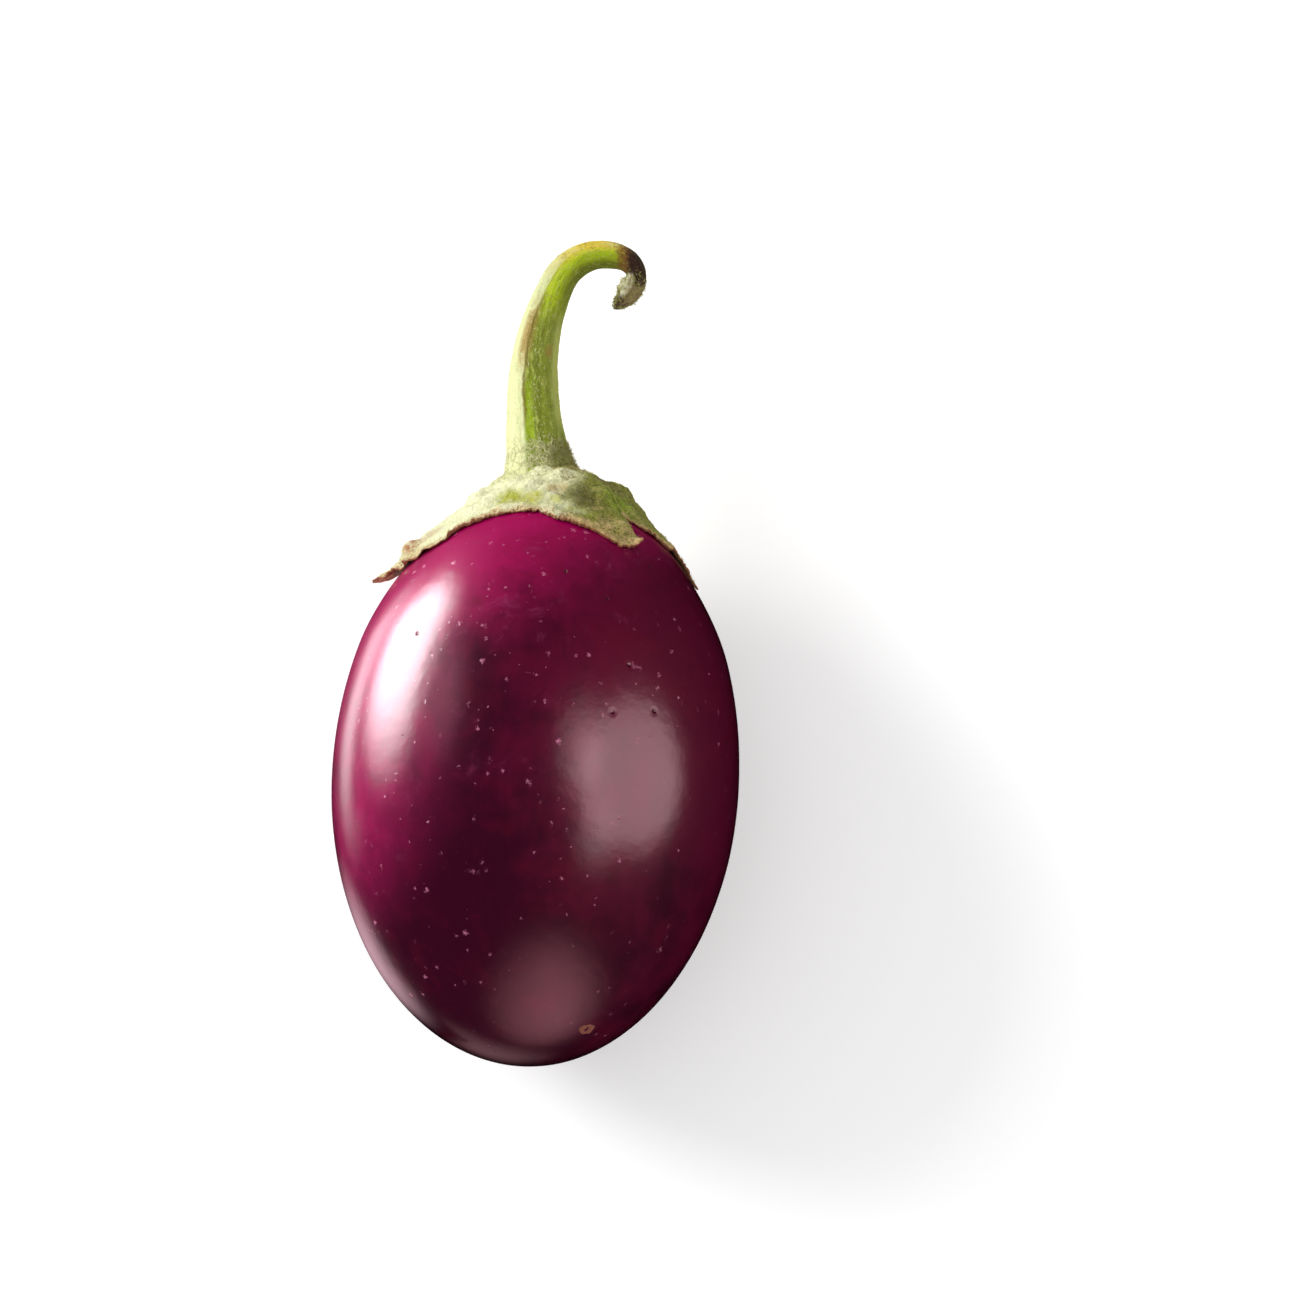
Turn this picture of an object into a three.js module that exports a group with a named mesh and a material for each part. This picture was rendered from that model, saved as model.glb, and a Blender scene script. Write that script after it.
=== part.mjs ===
// A small egg-shaped eggplant, picked with its green calyx and hooked stem, lying on its side.
// Millimetres, +Z up. The origin is the centre of the flat spot that the fruit rests on. The fruit's
// own axis runs along Y, with the stem at +Y and the blossom end at -Y. Three grown pieces make it up:
// the fruit, one solid berry; the calyx, a fleshy cap with five pointed lobes; and the ribbed stem.
// Directions round the fruit's axis are in degrees from +X towards +Z. Distances down the fruit are
// polar angles in degrees, from 0 at the stem to 180 at the blossom end.
import * as THREE from "three";

// Driving dimensions of the fruit: two half ellipsoids that meet at the widest section, y = 0. Its
// axis bows a little towards +X at both ends, and a shallow seat under the calyx narrows its shoulder.
const FRUIT_RADIUS = 28;
const STEM_HALF_LENGTH = 41.8;
const BLOSSOM_HALF_LENGTH = 39.4;
const BOW = 0.4;
const BOW_REACH = 40;
const SEAT = { depth: 0.55, from: 33, to: 44 };
const FLAT_SPOT_DEPTH = 0.9;

// A grown fruit is never quite round: shallow swellings around the axis, as shares of the radius.
const SWELLINGS = [
  { count: 3, share: 0.008, peak: 20 },
  { count: 2, share: 0.006, peak: 50 },
];

// The calyx lies on the fruit with a hairline gap. A thick disc round the stem, a little off the axis,
// thins out to the lobes between two distances from its centre.
const FITTING_GAP = 0.3;
const LOBE_THICKNESS = 0.65;
const DISC = { thickness: 2.75, centreX: 0.2, flatTo: 7.2, thinFrom: 15.5 };
const SINUS_ANGLE = 33.3;

// Each lobe: the direction of its tip, the half width of its blunt end, how far down the fruit it
// reaches, how far each of its sides runs round the axis to the next sinus, how hollow those sides
// are, and how far its end lifts off the fruit. Angles are in degrees, and the lift is in millimetres.
const LOBES = [
  { at: 51, blunt: 5, reach: 43.5, before: 9, after: 54, hollow: 2.2, lift: 0.3 },
  { at: 178, blunt: 1.5, reach: 51.5, before: 73, after: 46, hollow: 1.1, lift: 1.3 },
  { at: 247, blunt: 2, reach: 46, before: 23, after: 25, hollow: 1.2, lift: 0.4 },
  { at: 302, blunt: 2, reach: 48, before: 30, after: 28, hollow: 1.4, lift: 0.8 },
  { at: 353, blunt: 1.5, reach: 47, before: 23, after: 49, hollow: 2.6, lift: 0 },
];
const LIFT_ANGLE = 6;
const EDGE_TEETH = { count: 27, degrees: 0.35 };

// The stem's centre line is a chain of arcs: how far each runs and how many degrees it turns towards
// +X. It starts a little to one side of the axis, leaning away from the turn, and sinks as it goes.
const STEM_FOOT_X = -2.2;
const STEM_START_LEAN = 10.5;
const STEM_ARCS = [
  { run: 9.4, turn: 5 },
  { run: 17.2, turn: 27 },
  { run: 10.8, turn: 86 },
  { run: 9.3, turn: 144 },
];
const STEM_DROP = 1.5;

// Stem radius against the distance along the centre line, and the ribs along it.
const STEM_RADII = [
  [0, 4.65],
  [1, 4.3],
  [6, 3.85],
  [15, 3.2],
  [26, 2.42],
  [36, 1.9],
  [38, 1.65],
  [41, 1.25],
  [43, 1.05],
  [46, 0.9],
  [46.7, 0.6],
];
const RIBS = { count: 5, share: 0.05, peak: 65 };

// Fineness of the solids.
const FRUIT_COLUMNS = 64;
const FRUIT_ROWS = 40;
const CALYX_COLUMNS = 120;
const CALYX_ROWS = 10;
const STEM_SIDES = 20;
const STEM_ROWS = 46;

const { clamp, degToRad, euclideanModulo, mapLinear, radToDeg, smoothstep } = THREE.MathUtils;

/** Radius factor of the fruit at a polar angle and a direction round its axis, in radians. */
function swelling(polar, around) {
  let factor = 1;
  for (const { count, share, peak } of SWELLINGS)
    factor += share * Math.sin(polar) ** 2 * Math.cos(count * (around - degToRad(peak)));
  return factor;
}

const BELLY = degToRad(270);
const AXIS_HEIGHT = FRUIT_RADIUS * swelling(degToRad(90), BELLY) - FLAT_SPOT_DEPTH;

/** Half length of the ellipsoid that a polar angle falls on. */
function halfLength(polar) {
  return Math.cos(polar) > 0 ? STEM_HALF_LENGTH : BLOSSOM_HALF_LENGTH;
}

/** Outward normal of the fruit, taken as the plain ellipsoid's. */
function fruitNormal(polar, around) {
  const side = Math.sin(polar) / FRUIT_RADIUS;
  return new THREE.Vector3(
    side * Math.cos(around),
    Math.cos(polar) / halfLength(polar),
    side * Math.sin(around),
  ).normalize();
}

/** Point at a height over the fruit's skin, before the flat spot is pressed into it. */
function overFruit(polar, around, height) {
  const r = FRUIT_RADIUS * Math.sin(polar) * swelling(polar, around);
  const y = halfLength(polar) * Math.cos(polar);
  const bow = BOW * (y / BOW_REACH) ** 2;
  const seat = SEAT.depth * (1 - smoothstep(radToDeg(polar), SEAT.from, SEAT.to));
  return new THREE.Vector3(
    r * Math.cos(around) + bow,
    y,
    AXIS_HEIGHT + r * Math.sin(around),
  ).addScaledVector(fruitNormal(polar, around), height - seat);
}

/** Ring of points at even directions round an axis. */
function ringOf(columns, pointAt) {
  return Array.from({ length: columns }, (_, c) => pointAt((c / columns) * 2 * Math.PI));
}

/** Closed solid lofted through rings of points, with a single point at each end. */
function loft(start, rings, end) {
  const sides = rings[0].length;
  const at = (row, column) => 1 + row * sides + (column % sides);
  const last = 1 + rings.length * sides;
  const index = [];
  for (let c = 0; c < sides; c++) {
    index.push(0, at(0, c + 1), at(0, c));
    for (let r = 0; r + 1 < rings.length; r++) {
      index.push(at(r, c), at(r, c + 1), at(r + 1, c + 1));
      index.push(at(r, c), at(r + 1, c + 1), at(r + 1, c));
    }
    index.push(at(rings.length - 1, c), at(rings.length - 1, c + 1), last);
  }
  const geometry = new THREE.BufferGeometry().setFromPoints([start, ...rings.flat(), end]);
  geometry.setIndex(index);
  geometry.computeVertexNormals();
  return geometry;
}

/** The fruit, with the flat spot that it rests on at z = 0. */
function fruitGeometry() {
  const skinPoint = (polar, around) => {
    const point = overFruit(polar, around, 0);
    point.z = Math.max(point.z, 0);
    return point;
  };
  const rings = [];
  for (let row = 1; row < FRUIT_ROWS; row++)
    rings.push(ringOf(FRUIT_COLUMNS, (around) => skinPoint((row / FRUIT_ROWS) * Math.PI, around)));
  return loft(skinPoint(0, 0), rings, skinPoint(Math.PI, 0));
}

/** How near a direction is to a lobe's end: 1 over its blunt end, 0 from the sinus on. */
function lobeShare(lobe, around) {
  const off = euclideanModulo(radToDeg(around) - lobe.at + 180, 360) - 180;
  const side = off < 0 ? lobe.before : lobe.after;
  return 1 - clamp((Math.abs(off) - lobe.blunt) / (side - lobe.blunt), 0, 1);
}

/** Polar angle at which the calyx ends in a direction. */
function calyxEdge(around) {
  let edge = SINUS_ANGLE + EDGE_TEETH.degrees * Math.sin(EDGE_TEETH.count * around);
  for (const lobe of LOBES)
    edge += (lobe.reach - SINUS_ANGLE) * lobeShare(lobe, around) ** lobe.hollow;
  return degToRad(edge);
}

/** How far the calyx lifts off the fruit, because the ends of its lobes curl up. */
function calyxLift(polar, around) {
  let lift = 0;
  for (const lobe of LOBES) {
    const past = clamp((radToDeg(polar) - lobe.reach) / LIFT_ANGLE + 1, 0, 1);
    lift += lobe.lift * past ** 2 * smoothstep(lobeShare(lobe, around), 0.3, 0.8);
  }
  return lift;
}

/** Thickness of the calyx over a place on the fruit. */
function calyxThickness(polar, around) {
  const r = FRUIT_RADIUS * Math.sin(polar);
  const fromCentre = Math.hypot(r * Math.cos(around) - DISC.centreX, r * Math.sin(around));
  const disc = 1 - smoothstep(fromCentre, DISC.flatTo, DISC.thinFrom);
  return LOBE_THICKNESS + (DISC.thickness - LOBE_THICKNESS) * disc;
}

/** The calyx: out along its underside to the lobed edge, and back over its top. */
function calyxGeometry() {
  const pointAt = (share, around, isTop) => {
    const polar = share * calyxEdge(around);
    const thickness = isTop ? calyxThickness(polar, around) : 0;
    return overFruit(polar, around, FITTING_GAP + calyxLift(polar, around) + thickness);
  };
  const ringAt = (row, isTop) =>
    ringOf(CALYX_COLUMNS, (around) => pointAt(row / CALYX_ROWS, around, isTop)).reverse();
  const rings = [];
  for (let row = 1; row <= CALYX_ROWS; row++) rings.push(ringAt(row, false));
  for (let row = CALYX_ROWS; row > 0; row--) rings.push(ringAt(row, true));
  return loft(pointAt(0, 0, false), rings, pointAt(0, 0, true));
}

const STEM_LENGTH = STEM_ARCS.reduce((sum, arc) => sum + arc.run, 0);
const ROUNDING = 1e-6;
const STEM_SEAT_HEIGHT = FITTING_GAP + DISC.thickness + FITTING_GAP - SEAT.depth;

/** Height along Y at which the stem's foot meets the disc, at a place across the axis. */
function stemSeatY(x, z) {
  const share = Math.hypot(x, z - AXIS_HEIGHT) / (FRUIT_RADIUS + STEM_SEAT_HEIGHT);
  return (STEM_HALF_LENGTH + STEM_SEAT_HEIGHT) * Math.sqrt(1 - share ** 2);
}

/** Point of the stem's centre line at a distance along it, and how far it leans towards +X there. */
function stemLine(distance) {
  let x = STEM_FOOT_X;
  let y = stemSeatY(STEM_FOOT_X, AXIS_HEIGHT);
  let lean = degToRad(-STEM_START_LEAN);
  let left = distance;
  for (const { run, turn } of STEM_ARCS) {
    const step = Math.min(left, run);
    const bend = degToRad(turn) / run;
    const next = lean + bend * step;
    x += (Math.cos(lean) - Math.cos(next)) / bend;
    y += (Math.sin(next) - Math.sin(lean)) / bend;
    lean = next;
    left -= step;
  }
  const z = AXIS_HEIGHT - STEM_DROP * (distance / STEM_LENGTH) ** 2;
  return { centre: new THREE.Vector3(x, y, z), lean };
}

/** Stem radius at a distance along the centre line. */
function stemRadius(distance) {
  const next = STEM_RADII.findIndex(([at], i) => i > 0 && at > distance - ROUNDING);
  const [fromAt, fromRadius] = STEM_RADII[next - 1];
  const [toAt, toRadius] = STEM_RADII[next];
  return mapLinear(distance, fromAt, toAt, fromRadius, toRadius);
}

/** The stem: a ribbed section swept along its centre line, from a foot that fits the disc. */
function stemGeometry() {
  const sectionAt = (distance) => {
    const { centre, lean } = stemLine(distance);
    const across = new THREE.Vector3(Math.cos(lean), -Math.sin(lean), 0);
    const up = new THREE.Vector3(0, 0, 1);
    const ring = ringOf(STEM_SIDES, (around) => {
      const rib = RIBS.share * Math.cos(RIBS.count * (around - degToRad(RIBS.peak)));
      const r = stemRadius(distance) * (1 + rib);
      return centre
        .clone()
        .addScaledVector(across, r * Math.cos(around))
        .addScaledVector(up, r * Math.sin(around));
    });
    return ring.reverse();
  };
  const rings = [];
  for (let row = 0; row <= STEM_ROWS; row++)
    rings.push(sectionAt((row / STEM_ROWS) * STEM_LENGTH));
  for (const point of rings[0]) point.y = stemSeatY(point.x, point.z);
  return loft(stemLine(0).centre, rings, stemLine(STEM_LENGTH).centre);
}

/** A named piece with its finish. */
function piece(name, geometry, color, roughness) {
  const material = new THREE.MeshStandardMaterial({ color, roughness, metalness: 0 });
  const mesh = new THREE.Mesh(geometry, material);
  mesh.name = name;
  return mesh;
}

const eggplant = new THREE.Group();
eggplant.add(
  piece("fruit", fruitGeometry(), 0x5a0a38, 0.2),
  piece("calyx", calyxGeometry(), 0x9aa25c, 0.85),
  piece("stem", stemGeometry(), 0x8fae3c, 0.55),
);

export default eggplant;
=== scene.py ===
"""A small egg-shaped eggplant lying on its side: glossy fruit, felted calyx and hooked stem."""

import logging
import math
from dataclasses import dataclass
from enum import Enum
from typing import Callable, Optional, Sequence, Union

import bpy
import numpy as np
from mathutils import Euler, Matrix, Vector, noise


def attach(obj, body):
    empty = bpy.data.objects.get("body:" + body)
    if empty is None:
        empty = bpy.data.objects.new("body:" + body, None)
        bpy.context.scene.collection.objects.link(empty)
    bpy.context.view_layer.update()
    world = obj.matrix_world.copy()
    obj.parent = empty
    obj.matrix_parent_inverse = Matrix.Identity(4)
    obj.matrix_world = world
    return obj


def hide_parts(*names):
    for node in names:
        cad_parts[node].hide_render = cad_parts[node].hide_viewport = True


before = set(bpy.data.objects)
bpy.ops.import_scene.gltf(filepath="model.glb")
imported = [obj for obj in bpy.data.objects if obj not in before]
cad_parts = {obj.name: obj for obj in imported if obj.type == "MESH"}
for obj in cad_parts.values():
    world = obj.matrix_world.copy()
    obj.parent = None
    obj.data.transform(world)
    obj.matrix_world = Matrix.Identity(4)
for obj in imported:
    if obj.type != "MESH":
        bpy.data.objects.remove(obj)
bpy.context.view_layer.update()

LOG = logging.getLogger("eggplant")
MM = 0.001
BODY = "root"

Triple = tuple[float, float, float]
Span = tuple[float, float]
Layers = tuple[Span, ...]
Number = Union["Field", float]


class Slot(Enum):
    """The record's material slots."""

    SKIN = "skin"
    CALYX = "calyx"
    STEM = "stem"


class Node(Enum):
    """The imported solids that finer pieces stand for."""

    FRUIT = "fruit"
    CALYX = "calyx"
    STEM = "stem"


def srgb(red: int, green: int, blue: int) -> tuple[float, float, float, float]:
    """Turns a screen colour into the linear colour that sockets take.

    Args:
        red: Red from 0 to 255.
        green: Green from 0 to 255.
        blue: Blue from 0 to 255.

    Returns:
        Linear red, green and blue, and an alpha of 1.
    """

    def linear(level: int) -> float:
        share = level / 255
        return share / 12.92 if share <= 0.04045 else ((share + 0.055) / 1.055) ** 2.4

    return (linear(red), linear(green), linear(blue), 1.0)


def smoothstep(low: float, high: float, value: np.ndarray) -> np.ndarray:
    """Rises smoothly from 0 at low to 1 at high."""
    share = np.clip((value - low) / (high - low), 0.0, 1.0)
    return share * share * (3 - 2 * share)


def degrees_sin(angle: np.ndarray) -> np.ndarray:
    """Gives the sine of angles in degrees."""
    return np.sin(np.radians(angle))


def degrees_cos(angle: np.ndarray) -> np.ndarray:
    """Gives the cosine of angles in degrees."""
    return np.cos(np.radians(angle))


# ---------------------------------------------------------------------------------------------------
# Node trees written as arithmetic


class Field:
    """One number that a node tree works out, used like a plain number."""

    def __init__(self, tree: bpy.types.NodeTree, socket: bpy.types.NodeSocket) -> None:
        """Wraps the socket that gives the number.

        Args:
            tree: The tree that holds the socket.
            socket: The output socket.
        """
        self.tree = tree
        self.socket = socket

    def math(self, operation: str, *others: Number, clamp: bool = False) -> "Field":
        """Adds a math node.

        Args:
            operation: The node's operation.
            others: Its second and third values.
            clamp: True to keep the result between 0 and 1.

        Returns:
            The node's result.
        """
        node = self.tree.nodes.new("ShaderNodeMath")
        node.operation = operation
        node.use_clamp = clamp
        for socket, value in zip(node.inputs, (self, *others)):
            feed(self.tree, socket, value)
        return Field(self.tree, node.outputs[0])

    def __add__(self, other: Number) -> "Field":
        """Adds a number."""
        return self.math("ADD", other)

    def __radd__(self, other: float) -> "Field":
        """Adds to a plain number."""
        return self.math("ADD", other)

    def __sub__(self, other: Number) -> "Field":
        """Takes a number away."""
        return self.math("SUBTRACT", other)

    def __rsub__(self, other: float) -> "Field":
        """Is taken away from a plain number."""
        return (self * -1.0) + other

    def __mul__(self, other: Number) -> "Field":
        """Multiplies by a number."""
        return self.math("MULTIPLY", other)

    def __rmul__(self, other: float) -> "Field":
        """Multiplies a plain number."""
        return self.math("MULTIPLY", other)

    def __truediv__(self, other: Number) -> "Field":
        """Divides by a number."""
        return self.math("DIVIDE", other)

    def __pow__(self, other: Number) -> "Field":
        """Raises to a power."""
        return self.math("POWER", other)

    def smooth(self, low: Number, high: Number) -> "Field":
        """Rises smoothly from 0 at low to 1 at high.

        Args:
            low: Where it starts to rise.
            high: Where it is 1.

        Returns:
            The share between 0 and 1.
        """
        node = self.tree.nodes.new("ShaderNodeMapRange")
        node.interpolation_type = "SMOOTHSTEP"
        feed(self.tree, node.inputs["Value"], self)
        feed(self.tree, node.inputs["From Min"], low)
        feed(self.tree, node.inputs["From Max"], high)
        return Field(self.tree, node.outputs["Result"])


Feed = Union[Field, bpy.types.NodeSocket, float, int, bool, Sequence[float], None]


def feed(tree: bpy.types.NodeTree, socket: bpy.types.NodeSocket, value: Feed) -> None:
    """Links a value to a socket, or sets it there.

    Args:
        tree: The tree that holds the socket.
        socket: The input socket.
        value: A field, another socket, or a plain value.
    """
    if isinstance(value, Field):
        tree.links.new(value.socket, socket)
    elif isinstance(value, bpy.types.NodeSocket):
        tree.links.new(value, socket)
    elif value is not None:
        socket.default_value = value


class TreeWriter:
    """Writes the nodes of one tree, for a shape or for a finish."""

    def __init__(self, tree: bpy.types.NodeTree) -> None:
        """Starts on a tree.

        Args:
            tree: The empty tree.
        """
        self.tree = tree

    def add(self, kind: str, inputs: Optional[dict] = None, **settings) -> bpy.types.Node:
        """Adds a node.

        Args:
            kind: The node's type name.
            inputs: Values by socket name or number.
            settings: The node's own settings.

        Returns:
            The node.
        """
        node = self.tree.nodes.new(kind)
        for name, value in settings.items():
            setattr(node, name, value)
        for name, value in (inputs or {}).items():
            feed(self.tree, node.inputs[name], value)
        return node

    def fill(self, node: bpy.types.Node, **inputs: Feed) -> bpy.types.Node:
        """Feeds a node whose sockets share names across data types, by the ones in use."""
        for name, value in inputs.items():
            feed(self.tree, next(s for s in node.inputs if s.name == name and s.enabled), value)
        return node

    def field(self, socket: bpy.types.NodeSocket) -> Field:
        """Wraps an output socket as a number."""
        return Field(self.tree, socket)

    def split(self, vector: bpy.types.NodeSocket) -> tuple[Field, Field, Field]:
        """Splits a vector into its three numbers."""
        node = self.add("ShaderNodeSeparateXYZ", {0: vector})
        return tuple(self.field(out) for out in node.outputs)

    def vector(self, x: Number, y: Number, z: Number) -> bpy.types.NodeSocket:
        """Joins three numbers to a vector."""
        return self.add("ShaderNodeCombineXYZ", {0: x, 1: y, 2: z}).outputs[0]

    def vector_math(self, operation: str, *values: Feed, out: str = "Vector") -> bpy.types.NodeSocket:
        """Adds a vector math node.

        Args:
            operation: The node's operation.
            values: Its inputs, in order.
            out: The name of the output that is wanted.

        Returns:
            The output socket.
        """
        node = self.add("ShaderNodeVectorMath", operation=operation)
        free = [socket for socket in node.inputs if socket.enabled]
        for socket, value in zip(free, values):
            feed(self.tree, socket, value)
        return node.outputs[out]

    def scaled(self, vector: Feed, factor: Number) -> bpy.types.NodeSocket:
        """Multiplies a vector by a number."""
        node = self.add("ShaderNodeVectorMath", {"Vector": vector, "Scale": factor}, operation="SCALE")
        return node.outputs["Vector"]

    def noise(
        self, vector: Feed, size: float, detail: float = 2.0, rough: float = 0.5, warp: float = 0.0
    ) -> Field:
        """Adds cloudy noise around zero.

        Args:
            vector: Where to read it.
            size: Size of its blotches, in the vector's unit.
            detail: How many finer layers it has.
            rough: How strong the finer layers are.
            warp: How much it is drawn out of shape.

        Returns:
            A number between about -0.5 and 0.5.
        """
        inputs = {"Vector": vector, "Scale": 1 / size, "Detail": detail, "Roughness": rough}
        node = self.add("ShaderNodeTexNoise", {**inputs, "Distortion": warp}, noise_dimensions="3D")
        return self.field(node.outputs[0]) - 0.5


class ShapeWriter(TreeWriter):
    """Writes a geometry node tree with named inputs."""

    def __init__(self, name: str) -> None:
        """Makes the tree with its geometry in and out.

        Args:
            name: The tree's name.
        """
        super().__init__(bpy.data.node_groups.new(name, "GeometryNodeTree"))
        sockets = self.tree.interface
        sockets.new_socket("Geometry", in_out="INPUT", socket_type="NodeSocketGeometry")
        sockets.new_socket("Geometry", in_out="OUTPUT", socket_type="NodeSocketGeometry")
        self.entry = self.tree.nodes.new("NodeGroupInput")
        self.exit = self.tree.nodes.new("NodeGroupOutput")
        self.identifiers: dict[str, str] = {}

    def socket(self, name: str, kind: str) -> bpy.types.NodeSocket:
        """Adds a named input of any type and returns its socket inside the tree."""
        made = self.tree.interface.new_socket(name, in_out="INPUT", socket_type=kind)
        self.identifiers[name] = made.identifier
        return self.entry.outputs[name]

    def number(self, name: str) -> Field:
        """Adds a named number."""
        return self.field(self.socket(name, "NodeSocketFloat"))

    def count(self, name: str) -> bpy.types.NodeSocket:
        """Adds a named whole number."""
        return self.socket(name, "NodeSocketInt")

    def position(self) -> bpy.types.NodeSocket:
        """Reads each point's place."""
        return self.add("GeometryNodeInputPosition").outputs[0]

    def store(self, geometry: bpy.types.NodeSocket, name: str, value: Field) -> bpy.types.NodeSocket:
        """Keeps a number on every point, for the finish to read."""
        node = self.add("GeometryNodeStoreNamedAttribute", data_type="FLOAT", domain="POINT")
        return self.fill(node, Geometry=geometry, Name=name, Value=value).outputs["Geometry"]

    def finish(self, geometry: bpy.types.NodeSocket, material: bpy.types.Material) -> None:
        """Ends the tree: real mesh, smooth shading, and its material."""
        real = self.add("GeometryNodeRealizeInstances", {"Geometry": geometry}).outputs[0]
        smooth = self.add("GeometryNodeSetShadeSmooth", {"Geometry": real}).outputs[0]
        dressed = self.add("GeometryNodeSetMaterial", {"Geometry": smooth, "Material": material}).outputs[0]
        self.tree.links.new(dressed, self.exit.inputs["Geometry"])


def harden(name: str, base: bpy.types.Object, shape: ShapeWriter, values: dict) -> bpy.types.Object:
    """Runs a shape tree on a carrier and keeps the result as a plain mesh.

    Args:
        name: The new piece's name.
        base: The object that the tree starts from, which is removed.
        shape: The tree.
        values: The tree's inputs by name.

    Returns:
        The plain mesh object.
    """
    modifier = base.modifiers.new("shape", "NODES")
    modifier.node_group = shape.tree
    for input_name, value in values.items():
        modifier[shape.identifiers[input_name]] = value
    graph = bpy.context.evaluated_depsgraph_get()
    mesh = bpy.data.meshes.new_from_object(
        base.evaluated_get(graph), preserve_all_data_layers=True, depsgraph=graph
    )
    base.modifiers.remove(modifier)
    bpy.data.objects.remove(base)
    mesh.name = name
    return place(name, mesh)


def place(name: str, mesh: bpy.types.Mesh) -> bpy.types.Object:
    """Puts a mesh in the scene as a piece at the origin."""
    piece = bpy.data.objects.new(name, mesh)
    bpy.context.scene.collection.objects.link(piece)
    return piece


def carrier(name: str, mesh: Optional[bpy.types.Mesh] = None) -> bpy.types.Object:
    """Makes the object that a shape tree starts from."""
    return place(name + "_carrier", mesh or bpy.data.meshes.new(name + "_carrier"))


def settle(piece: bpy.types.Object, slot: Slot, *nodes: Node) -> bpy.types.Object:
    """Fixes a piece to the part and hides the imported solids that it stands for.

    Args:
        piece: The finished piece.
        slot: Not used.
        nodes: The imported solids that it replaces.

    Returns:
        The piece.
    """
    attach(piece, BODY)
    if nodes:
        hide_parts(*(node.value for node in nodes))
    LOG.info("%s: %d faces", piece.name, len(piece.data.polygons))
    return piece


# ---------------------------------------------------------------------------------------------------
# The fruit's form, which the other pieces lie on. Sizes are in millimetres and angles in degrees.
# Directions run round the axis from +X towards +Z; polar angles run from 0 at the stem to 180.


@dataclass(frozen=True)
class Swelling:
    """A shallow wave round the fruit: how often it comes, its share of the radius, and one crest."""

    count: int
    share: float
    peak: float


@dataclass(frozen=True)
class Egg:
    """The fruit's outer form: two half ellipsoids with a slight bow and a seat for the calyx."""

    radius: float = 28.0
    stem_half: float = 41.8
    blossom_half: float = 39.4
    bow: float = 0.4
    bow_reach: float = 40.0
    seat_depth: float = 0.6
    seat_from: float = 44.0
    seat_to: float = 66.0
    flat_depth: float = 0.9
    swellings: tuple[Swelling, ...] = (Swelling(3, 0.008, 20.0), Swelling(2, 0.006, 50.0))

    def swelling(self, polar: np.ndarray, around: np.ndarray) -> np.ndarray:
        """Gives how much wider or slimmer than a plain egg the fruit is.

        Args:
            polar: Polar angles in radians.
            around: Directions round the axis in radians.

        Returns:
            Factors on the radius.
        """
        factor = np.ones_like(polar * around)
        for wave in self.swellings:
            turn = wave.count * (around - math.radians(wave.peak))
            factor = factor + wave.share * np.sin(polar) ** 2 * np.cos(turn)
        return factor

    def axis_height(self) -> float:
        """Gives the height of the axis over the surface that the fruit lies on."""
        belly = self.swelling(np.float64(math.pi / 2), np.float64(math.radians(270)))
        return self.radius * float(belly) - self.flat_depth

    def half(self, polar: np.ndarray) -> np.ndarray:
        """Gives the half length of the end that each polar angle is on."""
        return np.where(np.cos(polar) > 0, self.stem_half, self.blossom_half)

    def normal(self, polar: np.ndarray, around: np.ndarray) -> np.ndarray:
        """Gives outward unit normals of the plain ellipsoid, as rows of x, y and z."""
        half = self.half(polar)
        side = np.sin(polar) / self.radius
        rows = np.stack([side * np.cos(around), np.cos(polar) / half + 0 * around, side * np.sin(around)], -1)
        return rows / np.linalg.norm(rows, axis=-1, keepdims=True)

    def over(self, polar: np.ndarray, around: np.ndarray, height: np.ndarray) -> np.ndarray:
        """Gives points at heights over the skin.

        Args:
            polar: Polar angles in radians.
            around: Directions round the axis in radians.
            height: Heights over the skin in millimetres.

        Returns:
            Rows of x, y and z in millimetres.
        """
        half = self.half(polar)
        ring = self.radius * np.sin(polar) * self.swelling(polar, around)
        y = half * np.cos(polar)
        seat = self.seat_depth * (1 - smoothstep(self.seat_from, self.seat_to, np.degrees(polar)))
        x = ring * np.cos(around) + self.bow * (y / self.bow_reach) ** 2
        z = self.axis_height() + ring * np.sin(around)
        rows = np.stack([x, y + 0 * around, z], -1)
        return rows + self.normal(polar, around) * (height - seat)[..., None]


# ---------------------------------------------------------------------------------------------------
# Finishes


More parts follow.
